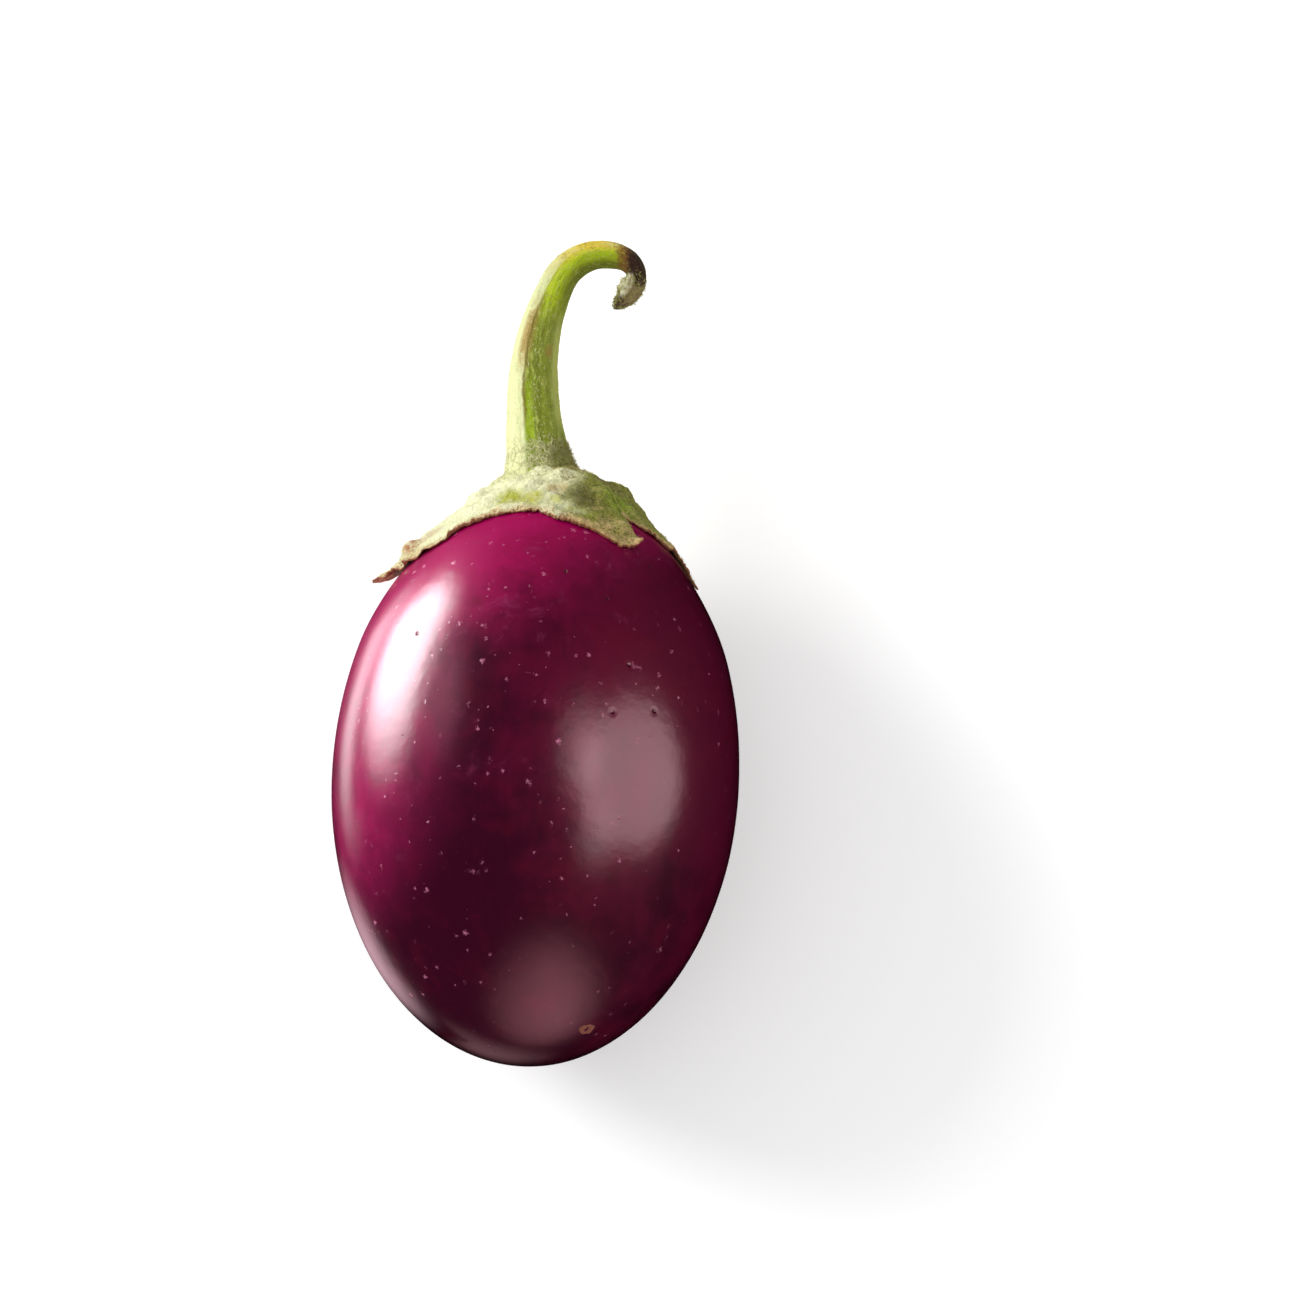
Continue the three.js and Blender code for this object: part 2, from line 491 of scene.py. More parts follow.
class FinishWriter(TreeWriter):
    """Writes a material's nodes on object coordinates in millimetres."""

    def __init__(self, name: str) -> None:
        """Makes the material with its surface shader.

        Args:
            name: The material's name.
        """
        self.material = bpy.data.materials.new(name)
        self.material.use_nodes = True
        super().__init__(self.material.node_tree)
        self.shader = self.tree.nodes["Principled BSDF"]
        coordinates = self.add("ShaderNodeTexCoord").outputs["Object"]
        self.place = self.scaled(coordinates, 1 / MM)

    def stretched(self, x: float, y: float, z: float) -> bpy.types.NodeSocket:
        """Gives the place with each axis scaled, to draw a pattern out."""
        return self.add("ShaderNodeMapping", {"Vector": self.place, "Scale": (x, y, z)}).outputs[0]

    def attribute(self, name: str) -> Field:
        """Reads a number kept on the piece's points."""
        node = self.add("ShaderNodeAttribute", attribute_name=name)
        return self.field(node.outputs["Fac"])

    def blend(self, share: Number, low: Feed, high: Feed) -> bpy.types.NodeSocket:
        """Mixes two colours.

        Args:
            share: 0 for the first and 1 for the second.
            low: The first colour.
            high: The second colour.

        Returns:
            The mixed colour.
        """
        node = self.add("ShaderNodeMix", data_type="RGBA", clamp_factor=True)
        feed(self.tree, node.inputs["Factor"], share)
        feed(self.tree, node.inputs[6], low)
        feed(self.tree, node.inputs[7], high)
        return node.outputs[2]

    def tint(self, under: Feed, colour: Triple, share: Number) -> bpy.types.NodeSocket:
        """Lays a screen colour over another colour by a share from 0 to 1."""
        return self.blend(share, under, srgb(*colour))

    def spots(self, place: Feed, size: float, radius: float, share: Number, edge: float = 0.35) -> Field:
        """Scatters ragged spots.

        Args:
            place: The place, stretched where the spots are long.
            size: How far apart the spots could be, in millimetres.
            radius: A spot's radius in millimetres.
            share: How many of the places hold a spot, from 0 to 1.
            edge: How soft a spot's edge is, as a share of its radius.

        Returns:
            1 inside a spot and 0 outside.
        """
        ragged = self.add("ShaderNodeTexNoise", {"Vector": self.place, "Scale": 3.4}).outputs["Color"]
        spot = self.vector_math("ADD", place, self.scaled(ragged, radius * 2.8))
        cells = self.add("ShaderNodeTexVoronoi", {"Vector": spot, "Scale": 1 / size})
        lottery, growth, _ = self.split(cells.outputs["Color"])
        reach = (growth * 0.9 + 0.45) * (radius / size)
        inside = 1 - self.field(cells.outputs["Distance"]).smooth(reach * (1 - edge), reach)
        return inside * lottery.math("LESS_THAN", share) * (growth * 0.7 + 0.3)

    def bump(self, height: Number, depth: float, under: Feed = None) -> bpy.types.NodeSocket:
        """Raises a fine pattern.

        Args:
            height: The pattern, 0 to 1.
            depth: How high 1 stands, in millimetres.
            under: Another bump's normal to add to.

        Returns:
            The normal.
        """
        inputs = {"Height": height, "Distance": depth * MM, "Strength": 1.0, "Normal": under}
        return self.add("ShaderNodeBump", inputs).outputs[0]

    def near(self, centre: Triple, full: float, gone: float) -> Field:
        """Gives 1 within one distance of a place and 0 past another, in millimetres."""
        away = self.vector_math("DISTANCE", self.place, centre, out="Value")
        return 1 - self.field(away).smooth(full, gone)

    def dressed(self, **inputs: Feed) -> bpy.types.Material:
        """Feeds the surface shader's inputs, named with _ for a space, and gives the material."""
        for name, value in inputs.items():
            feed(self.tree, self.shader.inputs[name.replace("_", " ")], value)
        return self.material


@dataclass(frozen=True)
class SkinFinish:
    """Waxy purple skin: magenta under the calyx, nearly black below, with specks; a magenta flank on the left
    and the shoulder's wider magenta there are painted light.
    """

    deep: Triple = (53, 0, 25)
    wine: Triple = (85, 0, 37)
    magenta: Triple = (156, 0, 78)
    crimson: Triple = (96, 0, 30)
    speck: Triple = (222, 128, 166)
    haze: Triple = (130, 46, 86)
    dent: Triple = (40, 6, 14)
    shoulder: Span = (11.0, 35.0)
    # Painted light: the flank is the middle of a magenta patch where light from the left falls.
    flank: Triple = (-27.0, 0.0, 34.0)
    lit_flank_reach: Span = (10.0, 29.0)
    dents: tuple[Triple, ...] = (
        (-16.6, 16.0, 47.3), (12.1, 12.6, 51.0), (10.4, 5.9, 53.2), (15.9, 6.8, 50.2),
    )
    dent_reach: Span = (0.12, 0.42)
    dent_ring: Span = (0.3, 0.9)
    mark_height: float = 0.07
    peel_height: float = 0.035
    pore_height: float = 0.006
    flesh_gloss: float = 0.06
    wax: float = 0.95
    wax_roughness: float = 0.2
    wax_ior: float = 1.42

    def material(self) -> bpy.types.Material:
        """Makes the skin's material."""
        w = FinishWriter("waxy_skin")
        across, along, _ = w.split(w.place)
        clouds = w.noise(w.place, 15.0, 3.0, 0.55, 0.3)
        crowd = (along * 0.012 - across * 0.01 + clouds * 1.2 + 0.55).math("MAXIMUM", 0.1)
        specks = w.spots(w.place, 1.8, 0.36, crowd * 0.4, 0.8)
        specks = specks.math("MAXIMUM", w.spots(w.place, 1.2, 0.19, crowd * 0.3, 0.8))
        scuffs = self.scuffs(w)
        pits, rings = self.pits(w)
        bloom = w.noise(w.place, 3.6, 4.0, 0.7, 0.5).smooth(0.05, 0.28) * crowd.smooth(0.4, 1.0)
        colour = w.tint(self.ripened_and_lit(w, clouds), self.haze, bloom * 0.5)
        colour = w.tint(colour, self.speck, specks * 0.58 + scuffs * 0.5)
        colour = w.tint(colour, self.dent, pits * 0.85)
        peel = w.bump(w.noise(w.place, 2.4, 2.0), self.peel_height, self.pores(w))
        marks = specks * 0.4 - pits * 1.6 - rings * 0.3 + scuffs * 0.2
        normal = w.bump(marks, self.mark_height, peel)
        return w.dressed(
            Base_Color=colour,
            Roughness=0.34 + clouds * 0.08 + specks * 0.25 + scuffs * 0.3,
            Specular_IOR_Level=self.flesh_gloss,
            Coat_Weight=self.wax,
            Coat_Roughness=self.wax_roughness,
            Coat_IOR=self.wax_ior,
            Normal=normal,
            Coat_Normal=normal,
        )

    def ripened_and_lit(self, w: FinishWriter, clouds: Field) -> bpy.types.NodeSocket:
        """Colours the flesh: dark to wine, with magenta at the shoulder, which is partly the skin's own
        colour and reaches further on the left as painted light, and a magenta flank that is painted light
        from the left.

        Args:
            w: The skin's writer.
            clouds: The skin's broadest unevenness.

        Returns:
            The colour.
        """
        across, along, _ = w.split(w.place)
        streaks = w.noise(w.stretched(1.0, 0.3, 1.0), 3.0, 4.0, 0.6, 0.5)
        mottle = w.noise(w.place, 5.5, 4.0, 0.65, 0.7)
        ripening = (across * 0.024 + along * 0.014 + clouds * 1.5 + 0.42).smooth(-0.1, 1.1)
        ripening = (ripening + streaks * 0.7 + mottle).smooth(0.0, 1.0)
        colour = w.tint(srgb(*self.deep), self.wine, ripening)
        # Painted light: the -across term stretches the shoulder's magenta on the left, and the flank patch
        # adds magenta where light from the left falls.
        slope = along - across * 0.6 + clouds * 9.0 + streaks * 5.0 + mottle * 9.0
        flank = w.near(self.flank, *self.lit_flank_reach)
        fresh = slope.smooth(*self.shoulder) ** 2.0 + flank * (0.75 + streaks * 0.5 + mottle * 0.9)
        colour = w.tint(colour, self.magenta, fresh.math("MINIMUM", 1.0))
        redder = w.noise(w.place, 8.0, 3.0, 0.6, 0.5).smooth(0.0, 0.22) * (1 - flank)
        return w.tint(colour, self.crimson, redder * 0.3)

    def scuffs(self, w: FinishWriter) -> Field:
        """Draws the short pale rub marks.

        Args:
            w: The skin's writer.

        Returns:
            1 on a mark and 0 beside it.
        """
        leaning = w.vector_math("ADD", w.stretched(1.0, 0.34, 1.0), w.scaled(w.place, 0.3))
        lying = w.stretched(0.4, 1.0, 1.0)
        worn = w.noise(w.place, 0.7, 2.0, 0.6).smooth(-0.14, 0.16)
        marks = w.spots(leaning, 2.3, 0.34, 0.4, 0.9).math("MAXIMUM", w.spots(lying, 2.6, 0.4, 0.3, 0.9))
        return marks * worn

    def pits(self, w: FinishWriter) -> tuple[Field, Field]:
        """Draws the tiny pits and the few larger dents.

        Args:
            w: The skin's writer.

        Returns:
            1 in a pit or dent, and 1 in the shallow ring round a dent.
        """
        pits = w.spots(w.place, 2.9, 0.22, 0.12)
        rings: Number = 0.0
        for place in self.dents:
            pits = pits.math("MAXIMUM", w.near(place, *self.dent_reach))
            rings = w.near(place, *self.dent_ring).math("MAXIMUM", rings)
        return pits, rings

    def pores(self, w: FinishWriter) -> bpy.types.NodeSocket:
        """Gives the normal of the skin's finest grain."""
        return w.bump(w.noise(w.place, 0.45, 2.0), self.pore_height)


@dataclass(frozen=True)
class Patch:
    """A tinted place: where it is, how far it is full, where it ends, its colour and its strength."""

    at: Triple
    full: float
    gone: float
    colour: Triple
    share: float


class SepalWriter(FinishWriter):
    """Writes the calyx's material, with the patterns that its colours share."""

    def __init__(self) -> None:
        """Makes the material and its shared patterns."""
        super().__init__("felted_sepal")
        self.across, _, _ = self.split(self.place)
        self.rim = self.attribute("rim")
        self.clouds = self.noise(self.place, 4.2, 4.0, 0.6, 0.4)
        self.blots = self.noise(self.place, 1.5, 3.0, 0.65)
        self.grain = self.noise(self.place, 0.4, 3.0, 0.75)
        # side: 0 on the left, 1 on the right; it drives cream to olive, partly own colour and partly painted
        # light and shade.
        self.side = (self.across * 0.11 + self.clouds * 1.6 + 0.3).smooth(0.0, 1.0)


@dataclass(frozen=True)
class CalyxFinish:
    """Felted green sepal: cream on one flank, olive on the other, dry and tan at the rim; the cream and olive
    are partly its own colours and partly painted light on the left and painted shade on the right, and
    painted shade darkens its hollows and the gaps between its hairs.
    """

    cream: Triple = (228, 229, 190)
    lime: Triple = (186, 186, 84)
    olive: Triple = (120, 128, 26)
    # shade: the colour of painted shade in the hollows and between the hairs.
    shade: Triple = (78, 76, 20)
    tan: Triple = (200, 172, 118)
    rust: Triple = (150, 84, 8)
    brown: Triple = (128, 66, 40)
    sheen: Triple = (230, 224, 160)
    fold: Triple = (-18.9, 30.7, 33.3)
    fold_reach: Span = (0.4, 2.5)
    grain_height: float = 0.3
    blot_height: float = 0.5
    patches: tuple[Patch, ...] = (
        Patch((-6.5, 40.5, 36.0), 3.0, 7.5, (234, 234, 190), 0.8),
        Patch((0.5, 41.5, 35.5), 2.2, 4.8, (234, 234, 188), 0.85),
        Patch((-5.8, 37.4, 38.4), 1.0, 3.0, (168, 172, 36), 1.0),
        Patch((-2.7, 37.0, 39.8), 0.9, 2.6, (170, 170, 48), 0.95),
        Patch((-16.0, 32.4, 33.6), 0.8, 2.8, (186, 158, 124), 0.75),
        # Painted shadow: the dark notch under the lifted edge of the long lobe.
        Patch((-16.5, 29.3, 38.6), 0.4, 1.3, (80, 30, 24), 0.85),
        Patch((0.8, 39.4, 38.6), 0.5, 2.2, (196, 160, 106), 0.75),
        # Painted shade beside the raised ridge, on the shaded right.
        Patch((5.2, 38.0, 39.4), 1.2, 4.2, (84, 80, 28), 0.85),
        Patch((10.6, 38.0, 36.0), 2.0, 5.0, (128, 152, 22), 0.85),
        Patch((9.6, 32.8, 42.4), 1.6, 4.4, (190, 160, 112), 0.85),
        Patch((12.2, 30.9, 42.4), 0.6, 1.6, (226, 190, 150), 0.9),
        Patch((15.0, 34.4, 35.5), 1.0, 3.6, (134, 136, 40), 0.7),
        # Painted shade on the thin lobe tip at the far right.
        Patch((19.6, 27.5, 33.0), 1.0, 4.6, (70, 48, 34), 0.8),
    )

    def material(self) -> bpy.types.Material:
        """Makes the calyx's material."""
        w = SepalWriter()
        colour = self.shaded_and_felted(w, self.patched(w, self.sides(w)))
        return w.dressed(
            Base_Color=self.dried(w, colour),
            Roughness=0.8,
            Specular_IOR_Level=0.2,
            Sheen_Weight=0.15,
            Sheen_Roughness=0.4,
            Sheen_Tint=srgb(*self.sheen),
            Normal=w.bump(w.grain + 0.5, self.grain_height, w.bump(w.blots + 0.5, self.blot_height)),
        )

    def sides(self, w: SepalWriter) -> bpy.types.NodeSocket:
        """Colours the two sides, with fresh green places between; the cream left and olive right are partly
        painted light and painted shade.

        Args:
            w: The calyx's writer.

        Returns:
            The colour.
        """
        fresh = (w.clouds * -1.2 + w.blots * 0.8).smooth(0.02, 0.2) * (1 - w.rim.smooth(0.8, 0.95))
        fresh = fresh * (0.15 + 0.6 * w.across.smooth(-12.0, -3.0)) * (1 - w.side * 0.4)
        # Cream on the lit left and olive on the shaded right: partly painted light and painted shade.
        return w.tint(w.tint(srgb(*self.cream), self.olive, w.side), self.lime, fresh)

    def patched(self, w: SepalWriter, colour: Feed) -> Feed:
        """Tints the listed patches, each with a ragged edge; some dark ones are painted shadow and shade.

        Args:
            w: The calyx's writer.
            colour: The colour so far.

        Returns:
            The colour.
        """
        for patch in self.patches:
            inside = w.near(patch.at, patch.full, patch.gone) * (w.blots + w.clouds + 0.7).smooth(0.2, 0.8)
            colour = w.tint(colour, patch.colour, inside * patch.share)
        return colour

    def shaded_and_felted(self, w: SepalWriter, colour: Feed) -> bpy.types.NodeSocket:
        """Paints shade into the hollows and into the gaps between the hairs, more on the shaded right, and
        tints the felt tan.

        Args:
            w: The calyx's writer.
            colour: The colour so far.

        Returns:
            The colour.
        """
        # Painted shade in the hollows, stronger on the shaded right.
        hollow_shade = (w.attribute("hollow") + w.blots * 0.8).smooth(0.15, 0.8)
        colour = w.tint(colour, self.shade, hollow_shade * (0.1 + w.side * 0.5))
        warm = w.noise(w.place, 3.1, 2.0, 0.5, 0.6).smooth(0.04, 0.2)
        colour = w.tint(colour, self.tan, warm * (0.06 + w.side * 0.25))
        felt = (w.grain + w.blots * 0.4).smooth(0.02, 0.2)
        colour = w.tint(colour, self.tan, felt * (0.05 + w.side * 0.25))
        # Painted shade: dark gaps between the hairs, stronger on the shaded right.
        gap_shade = (w.grain * -1.0 - w.blots * 0.3).smooth(0.0, 0.12)
        return w.tint(colour, self.shade, gap_shade * (0.1 + w.side * 0.7))

    def dried(self, w: SepalWriter, colour: Feed) -> bpy.types.NodeSocket:
        """Dries the rim to tan and brown, and rusts the fold in the long lobe.

        Args:
            w: The calyx's writer.
            colour: The colour so far.

        Returns:
            The colour.
        """
        dry = (w.rim + w.clouds * 0.22 + w.grain * 0.12).smooth(0.92, 0.985)
        colour = w.tint(colour, self.tan, dry * 0.85)
        charred = (w.rim + w.blots * 0.25).smooth(0.93, 0.98) * (w.grain - 0.02).smooth(0.0, 0.08)
        colour = w.tint(colour, self.brown, charred * 0.8)
        colour = w.tint(colour, self.brown, (w.rim + w.blots * 0.05).smooth(0.99, 1.012) * 0.85)
        folded = w.near(self.fold, *self.fold_reach) * (w.blots * 2.0 + 0.5).smooth(0.1, 0.5)
        return w.tint(colour, self.rust, folded * 0.95)


class StalkWriter(FinishWriter):
    """Writes the stem's material, with the patterns and stretches that its colours share.

    Places along the stem are in millimetres from its foot, and directions round it in degrees.
    """

    def __init__(self, groove_at: float) -> None:
        """Makes the material and its shared patterns.

        Args:
            groove_at: The direction of the groove beside the pale flank.
        """
        super().__init__("ribbed_stalk")
        self.along, self.around = self.attribute("along"), self.attribute("around")
        self.grain = self.noise(self.place, 0.42, 3.0, 0.7)
        self.fibres = self.noise(self.vector(self.around * 0.06, self.along * 0.35, 0.0), 1.0, 3.0, 0.6)
        self.clouds = self.noise(self.place, 2.6, 3.0, 0.6)
        self.scurf = self.noise(self.vector(self.around * 0.1, self.along * 0.5, 4.0), 1.0, 4.0, 0.7)
        self.turn = self.around + self.fibres * 14.0
        # The pale flank on the left is partly the stem's own colour and partly painted light from the left.
        pale_from = self.turn.smooth(groove_at + 8.0, groove_at + 22.0)
        self.flank = pale_from * self.until(self.turn, 205.0, 240.0)
        self.bent = self.along.smooth(18.0, 27.0)
        self.crest = (self.along + self.clouds * 5.0).smooth(25.5, 33.0) * self.turn.smooth(82.0, 118.0)

    def until(self, value: Field, low: float, high: float) -> Field:
        """Falls smoothly from 1 at low to 0 at high."""
        return 1 - value.smooth(low, high)

    def beside(self, value: Field, full: float, gone: float) -> Field:
        """Gives 1 where a number is within full of zero, and 0 where it is past gone."""
        return self.until(value.math("ABSOLUTE"), full, gone)

    def cosine(self, degrees: Field) -> Field:
        """Gives the cosine of an angle in degrees."""
        return (degrees * (math.pi / 180)).math("COSINE")


@dataclass(frozen=True)
class StemFinish:
    """Ribbed green stalk: one pale flank, partly painted light from the left, a bright groove, russet scars,
    and a dry brown hook.
    """

    pale: Triple = (212, 216, 158)
    green: Triple = (128, 142, 38)
    groove: Triple = (146, 170, 20)
    seam: Triple = (112, 100, 14)
    # edge: the light green of the scurf, and also of the painted lit face on the right.
    edge: Triple = (182, 190, 92)
    # bright: the colour of painted light on the top of the bend.
    bright: Triple = (208, 220, 54)
    olive: Triple = (100, 112, 8)
    lime: Triple = (162, 184, 0)
    amber: Triple = (226, 200, 60)
    russet: Triple = (158, 128, 52)
    rust: Triple = (122, 84, 34)
    dark: Triple = (46, 26, 18)
    ash: Triple = (158, 136, 98)
    pith: Triple = (222, 220, 184)
    sheen: Triple = (226, 226, 130)
    groove_at: float = 93.0
    ridge_at: float = 118.0
    hook_back: float = 160.0
    smudge_at: tuple[float, float] = (52.0, 15.8)
    drying: Span = (36.2, 39.0)
    burning: Span = (39.0, 41.0)
    bleaching: Span = (41.4, 43.2)
    opening: Span = (40.0, 41.0)
    ending: Span = (44.5, 45.6)
    grain_height: float = 0.2
    fibre_height: float = 0.3

    def material(self) -> bpy.types.Material:
        """Makes the stem's material."""
        w = StalkWriter(self.groove_at)
        colour = self.speckled(w, self.scarred(w, self.bend(w, self.grooved(w, self.sides(w)))))
        outer = w.cosine(w.around - self.hook_back) * 0.5 + 0.5
        dry = (w.along + w.clouds * 5.0 + w.grain * 4.0 + outer * 1.8).smooth(*self.drying)
        ribs = w.bump(w.fibres + w.scurf + 0.5, self.fibre_height)
        return w.dressed(
            Base_Color=self.hooked(w, w.tint(colour, self.rust, dry), outer),
            Roughness=0.52 + dry * 0.3 + w.grain * 0.3,
            Specular_IOR_Level=0.15,
            Sheen_Weight=0.2,
            Sheen_Roughness=0.35,
            Sheen_Tint=srgb(*self.sheen),
            Normal=w.bump(w.grain + 0.5, self.grain_height, ribs),
        )

    def sides(self, w: StalkWriter) -> bpy.types.NodeSocket:
        """Colours the green side, the pale flank, which is partly painted light from the left, and a painted
        lit face on the right of the straight stretch.

        Args:
            w: The stem's writer.

        Returns:
            The colour.
        """
        colour = w.tint(srgb(*self.green), self.pale, w.flank)
        # Painted light: a lighter face on the right of the straight stretch.
        painted_lit_face = w.until(w.turn, 26.0, 56.0) * (1 - w.bent) * w.along.smooth(2.5, 7.0)
        return w.tint(colour, self.edge, painted_lit_face * 0.9)

    def grooved(self, w: StalkWriter, colour: Feed) -> bpy.types.NodeSocket:
        """Draws the bright groove and the dark line beside it.

        Args:
            w: The stem's writer.
            colour: The colour so far.

        Returns:
            The colour.
        """
        low = w.beside(w.around - self.groove_at + 8.0 + w.clouds * 8.0, 6.0, 18.0)
        low = low * w.along.smooth(1.5, 4.0) * w.until(w.along, 17.0, 22.0)
        colour = w.tint(colour, self.olive, low * 0.75)
        valley = w.beside(w.around - self.groove_at - 8.0 + w.clouds * 6.0, 6.0, 12.0)
        return w.tint(colour, self.groove, valley * w.until(w.along + w.clouds * 6.0, 8.0, 14.0))

    def bend(self, w: StalkWriter, colour: Feed) -> bpy.types.NodeSocket:
        """Colours the bend: lime, with painted shade in olive on its inside, a painted lit top and an amber
        crest.

        Args:
            w: The stem's writer.
            colour: The colour so far.

        Returns:
            The colour.
        """
        lime = (w.along + w.clouds * 4.0).smooth(19.0, 25.0)
        colour = w.tint(colour, self.lime, lime * (1 - w.flank))
        # Painted shade: olive on the inside of the bend.
        shade = w.bent * w.beside(w.turn - 20.0 + w.clouds * 30.0, 16.0, 58.0)
        colour = w.tint(colour, self.olive, shade * 0.85)
        # Painted light: a brighter top of the bend.
        painted_lit_top = w.along.smooth(22.0, 26.0) * w.turn.smooth(84.0, 104.0) * (1 - w.flank)
        colour = w.tint(colour, self.bright, painted_lit_top * 0.8)
        return w.tint(colour, self.amber, w.crest * (w.grain + w.clouds + 0.45).smooth(0.0, 0.5))

    def scarred(self, w: StalkWriter, colour: Feed) -> bpy.types.NodeSocket:
        """Draws the russet scars on the ridge and the thin dark seam.

        Args:
            w: The stem's writer.
            colour: The colour so far.

        Returns:
            The colour.
        """
        ridge = w.beside(w.turn - self.ridge_at, 8.0, 24.0) * w.along.smooth(11.0, 16.0)
        scars = ridge * w.until(w.along, 20.0, 25.0) * (w.clouds + w.grain + 0.3).smooth(0.0, 0.3)
        colour = w.tint(colour, self.russet, scars * 0.9)
        seam = w.beside(w.turn - self.groove_at - 17.0 + w.clouds * 5.0, 1.5, 5.0)
        seam = seam * w.along.smooth(3.0, 8.0) * w.until(w.along, 19.0, 24.0)
        return w.tint(colour, self.seam, seam * (w.clouds + 0.6).smooth(0.1, 0.5) * 0.9)

    def speckled(self, w: StalkWriter, colour: Feed) -> bpy.types.NodeSocket:
        """Scatters the scurf, flecks, freckles and blots, and one russet smudge.

        Args:
            w: The stem's writer.
            colour: The colour so far.

        Returns:
            The colour.
        """
        colour = w.tint(colour, self.edge, w.scurf.smooth(0.03, 0.13) * 0.6 * (1 - w.flank))
        colour = w.tint(colour, self.seam, (w.scurf * -1.0).smooth(0.05, 0.16) * (0.55 - w.flank * 0.4))
        flecks = w.spots(w.place, 1.1, 0.3, 0.4, 0.8) * (1 - w.bent * 0.5)
        colour = w.tint(colour, self.seam, flecks * (0.85 - w.flank * 0.5))
        smudge_around, smudge_along = self.smudge_at
        smudge = w.beside(w.around - smudge_around + w.clouds * 20.0, 4.0, 15.0)
        smudge = smudge * w.beside(w.along - smudge_along + w.clouds * 2.0, 0.4, 1.7)
        colour = w.tint(colour, self.russet, smudge * 0.65)
        freckles = w.crest * (w.grain * 1.5 + w.clouds * 0.8).smooth(0.1, 0.25)
        colour = w.tint(colour, self.rust, freckles * 0.8)
        blots = (w.clouds + w.grain * 0.7 - 0.1).smooth(0.1, 0.2) * (1 - w.flank * 0.7)
        colour = w.tint(colour, self.rust, blots * 0.6)
        colour = w.tint(colour, self.pale, (w.grain - 0.1).smooth(0.0, 0.12) * 0.3)
        return w.tint(colour, self.olive, (w.grain * -1.0 - 0.1).smooth(0.0, 0.1) * 0.4)

    def hooked(self, w: StalkWriter, colour: Feed, outer: Field) -> bpy.types.NodeSocket:
        """Colours the hook: burnt, then bleached, with open pith inside and a dark torn end.

        Args:
            w: The stem's writer.
            colour: The colour so far.
            outer: 1 on the outside of the hook and 0 on its inside.

        Returns:
            The colour.
        """
        burnt = (w.along + w.clouds * 3.5 + w.grain * 4.0 + outer * 2.6).smooth(*self.burning)
        colour = w.tint(colour, self.dark, burnt)
        bleached = (w.along + w.clouds * 2.5 + w.grain * 4.0).smooth(*self.bleaching)
        colour = w.tint(colour, self.ash, bleached * 0.9)
        opened = (w.cosine(w.around) + w.fibres * 0.5).smooth(0.3, 0.5)
        opened = opened * (w.along + w.fibres * 1.5).smooth(*self.opening)
        colour = w.blend(opened, colour, w.tint(srgb(*self.ash), self.pith, w.fibres.smooth(-0.22, 0.0)))
        torn = (w.along + w.clouds * 2.0 + w.grain * 2.0).smooth(*self.ending)
        return w.tint(colour, self.dark, torn * 0.8)


@dataclass(frozen=True)
class ScarFinish:
    """The dry corky scar where the flower sat."""

    cork: Triple = (104, 44, 28)
    pale: Triple = (142, 80, 42)
    slit: Triple = (58, 14, 20)
    grain_height: float = 0.12

    def material(self) -> bpy.types.Material:
        """Makes the scar's material."""
        w = FinishWriter("corky_scar")
        grain = w.noise(w.place, 0.3, 3.0, 0.7)
        colour = w.tint(srgb(*self.cork), self.pale, (grain * 2.2 + 0.45).smooth(0.0, 1.0))
        colour = w.tint(colour, self.slit, (w.attribute("depth") + grain * 0.3).smooth(0.35, 0.7))
        return w.dressed(Base_Color=colour, Roughness=0.75, Normal=w.bump(grain + 0.5, self.grain_height))


@dataclass(frozen=True)
class FeltFinish:
    """Dry hairs that vary between two colours, and turn to a third, darker one on the far side, which is
    painted shade.
    """

    name: str
    root: Triple
    tip: Triple
    far: Triple

    def material(self) -> bpy.types.Material:
        """Makes the hairs' material."""
        w = FinishWriter(self.name)
        across, _, _ = w.split(w.place)
        tone = w.noise(w.place, 1.2, 1.0)
        colour = w.tint(srgb(*self.root), self.tip, tone + 0.5)
        # Painted shade: the hairs turn to the far colour on the right, away from the light.
        colour = w.tint(colour, self.far, (across + tone * 5.0).smooth(-4.5, 2.5) * 0.85)
        return w.dressed(Base_Color=colour, Roughness=0.7, Specular_IOR_Level=0.2)


@dataclass(frozen=True)
class PaperFinish:
    """The pale surface that the eggplant lies on."""

    colour: Triple = (252, 252, 252)
    glow: float = 0.22

    def material(self) -> bpy.types.Material:
        """Makes the floor's material."""
        return FinishWriter("pale_floor").dressed(
            Base_Color=srgb(*self.colour),
            Roughness=0.9,
            Specular_IOR_Level=0.1,
            Emission_Color=srgb(255, 255, 255),
            Emission_Strength=self.glow,
        )


# ---------------------------------------------------------------------------------------------------
# Sub-assemblies


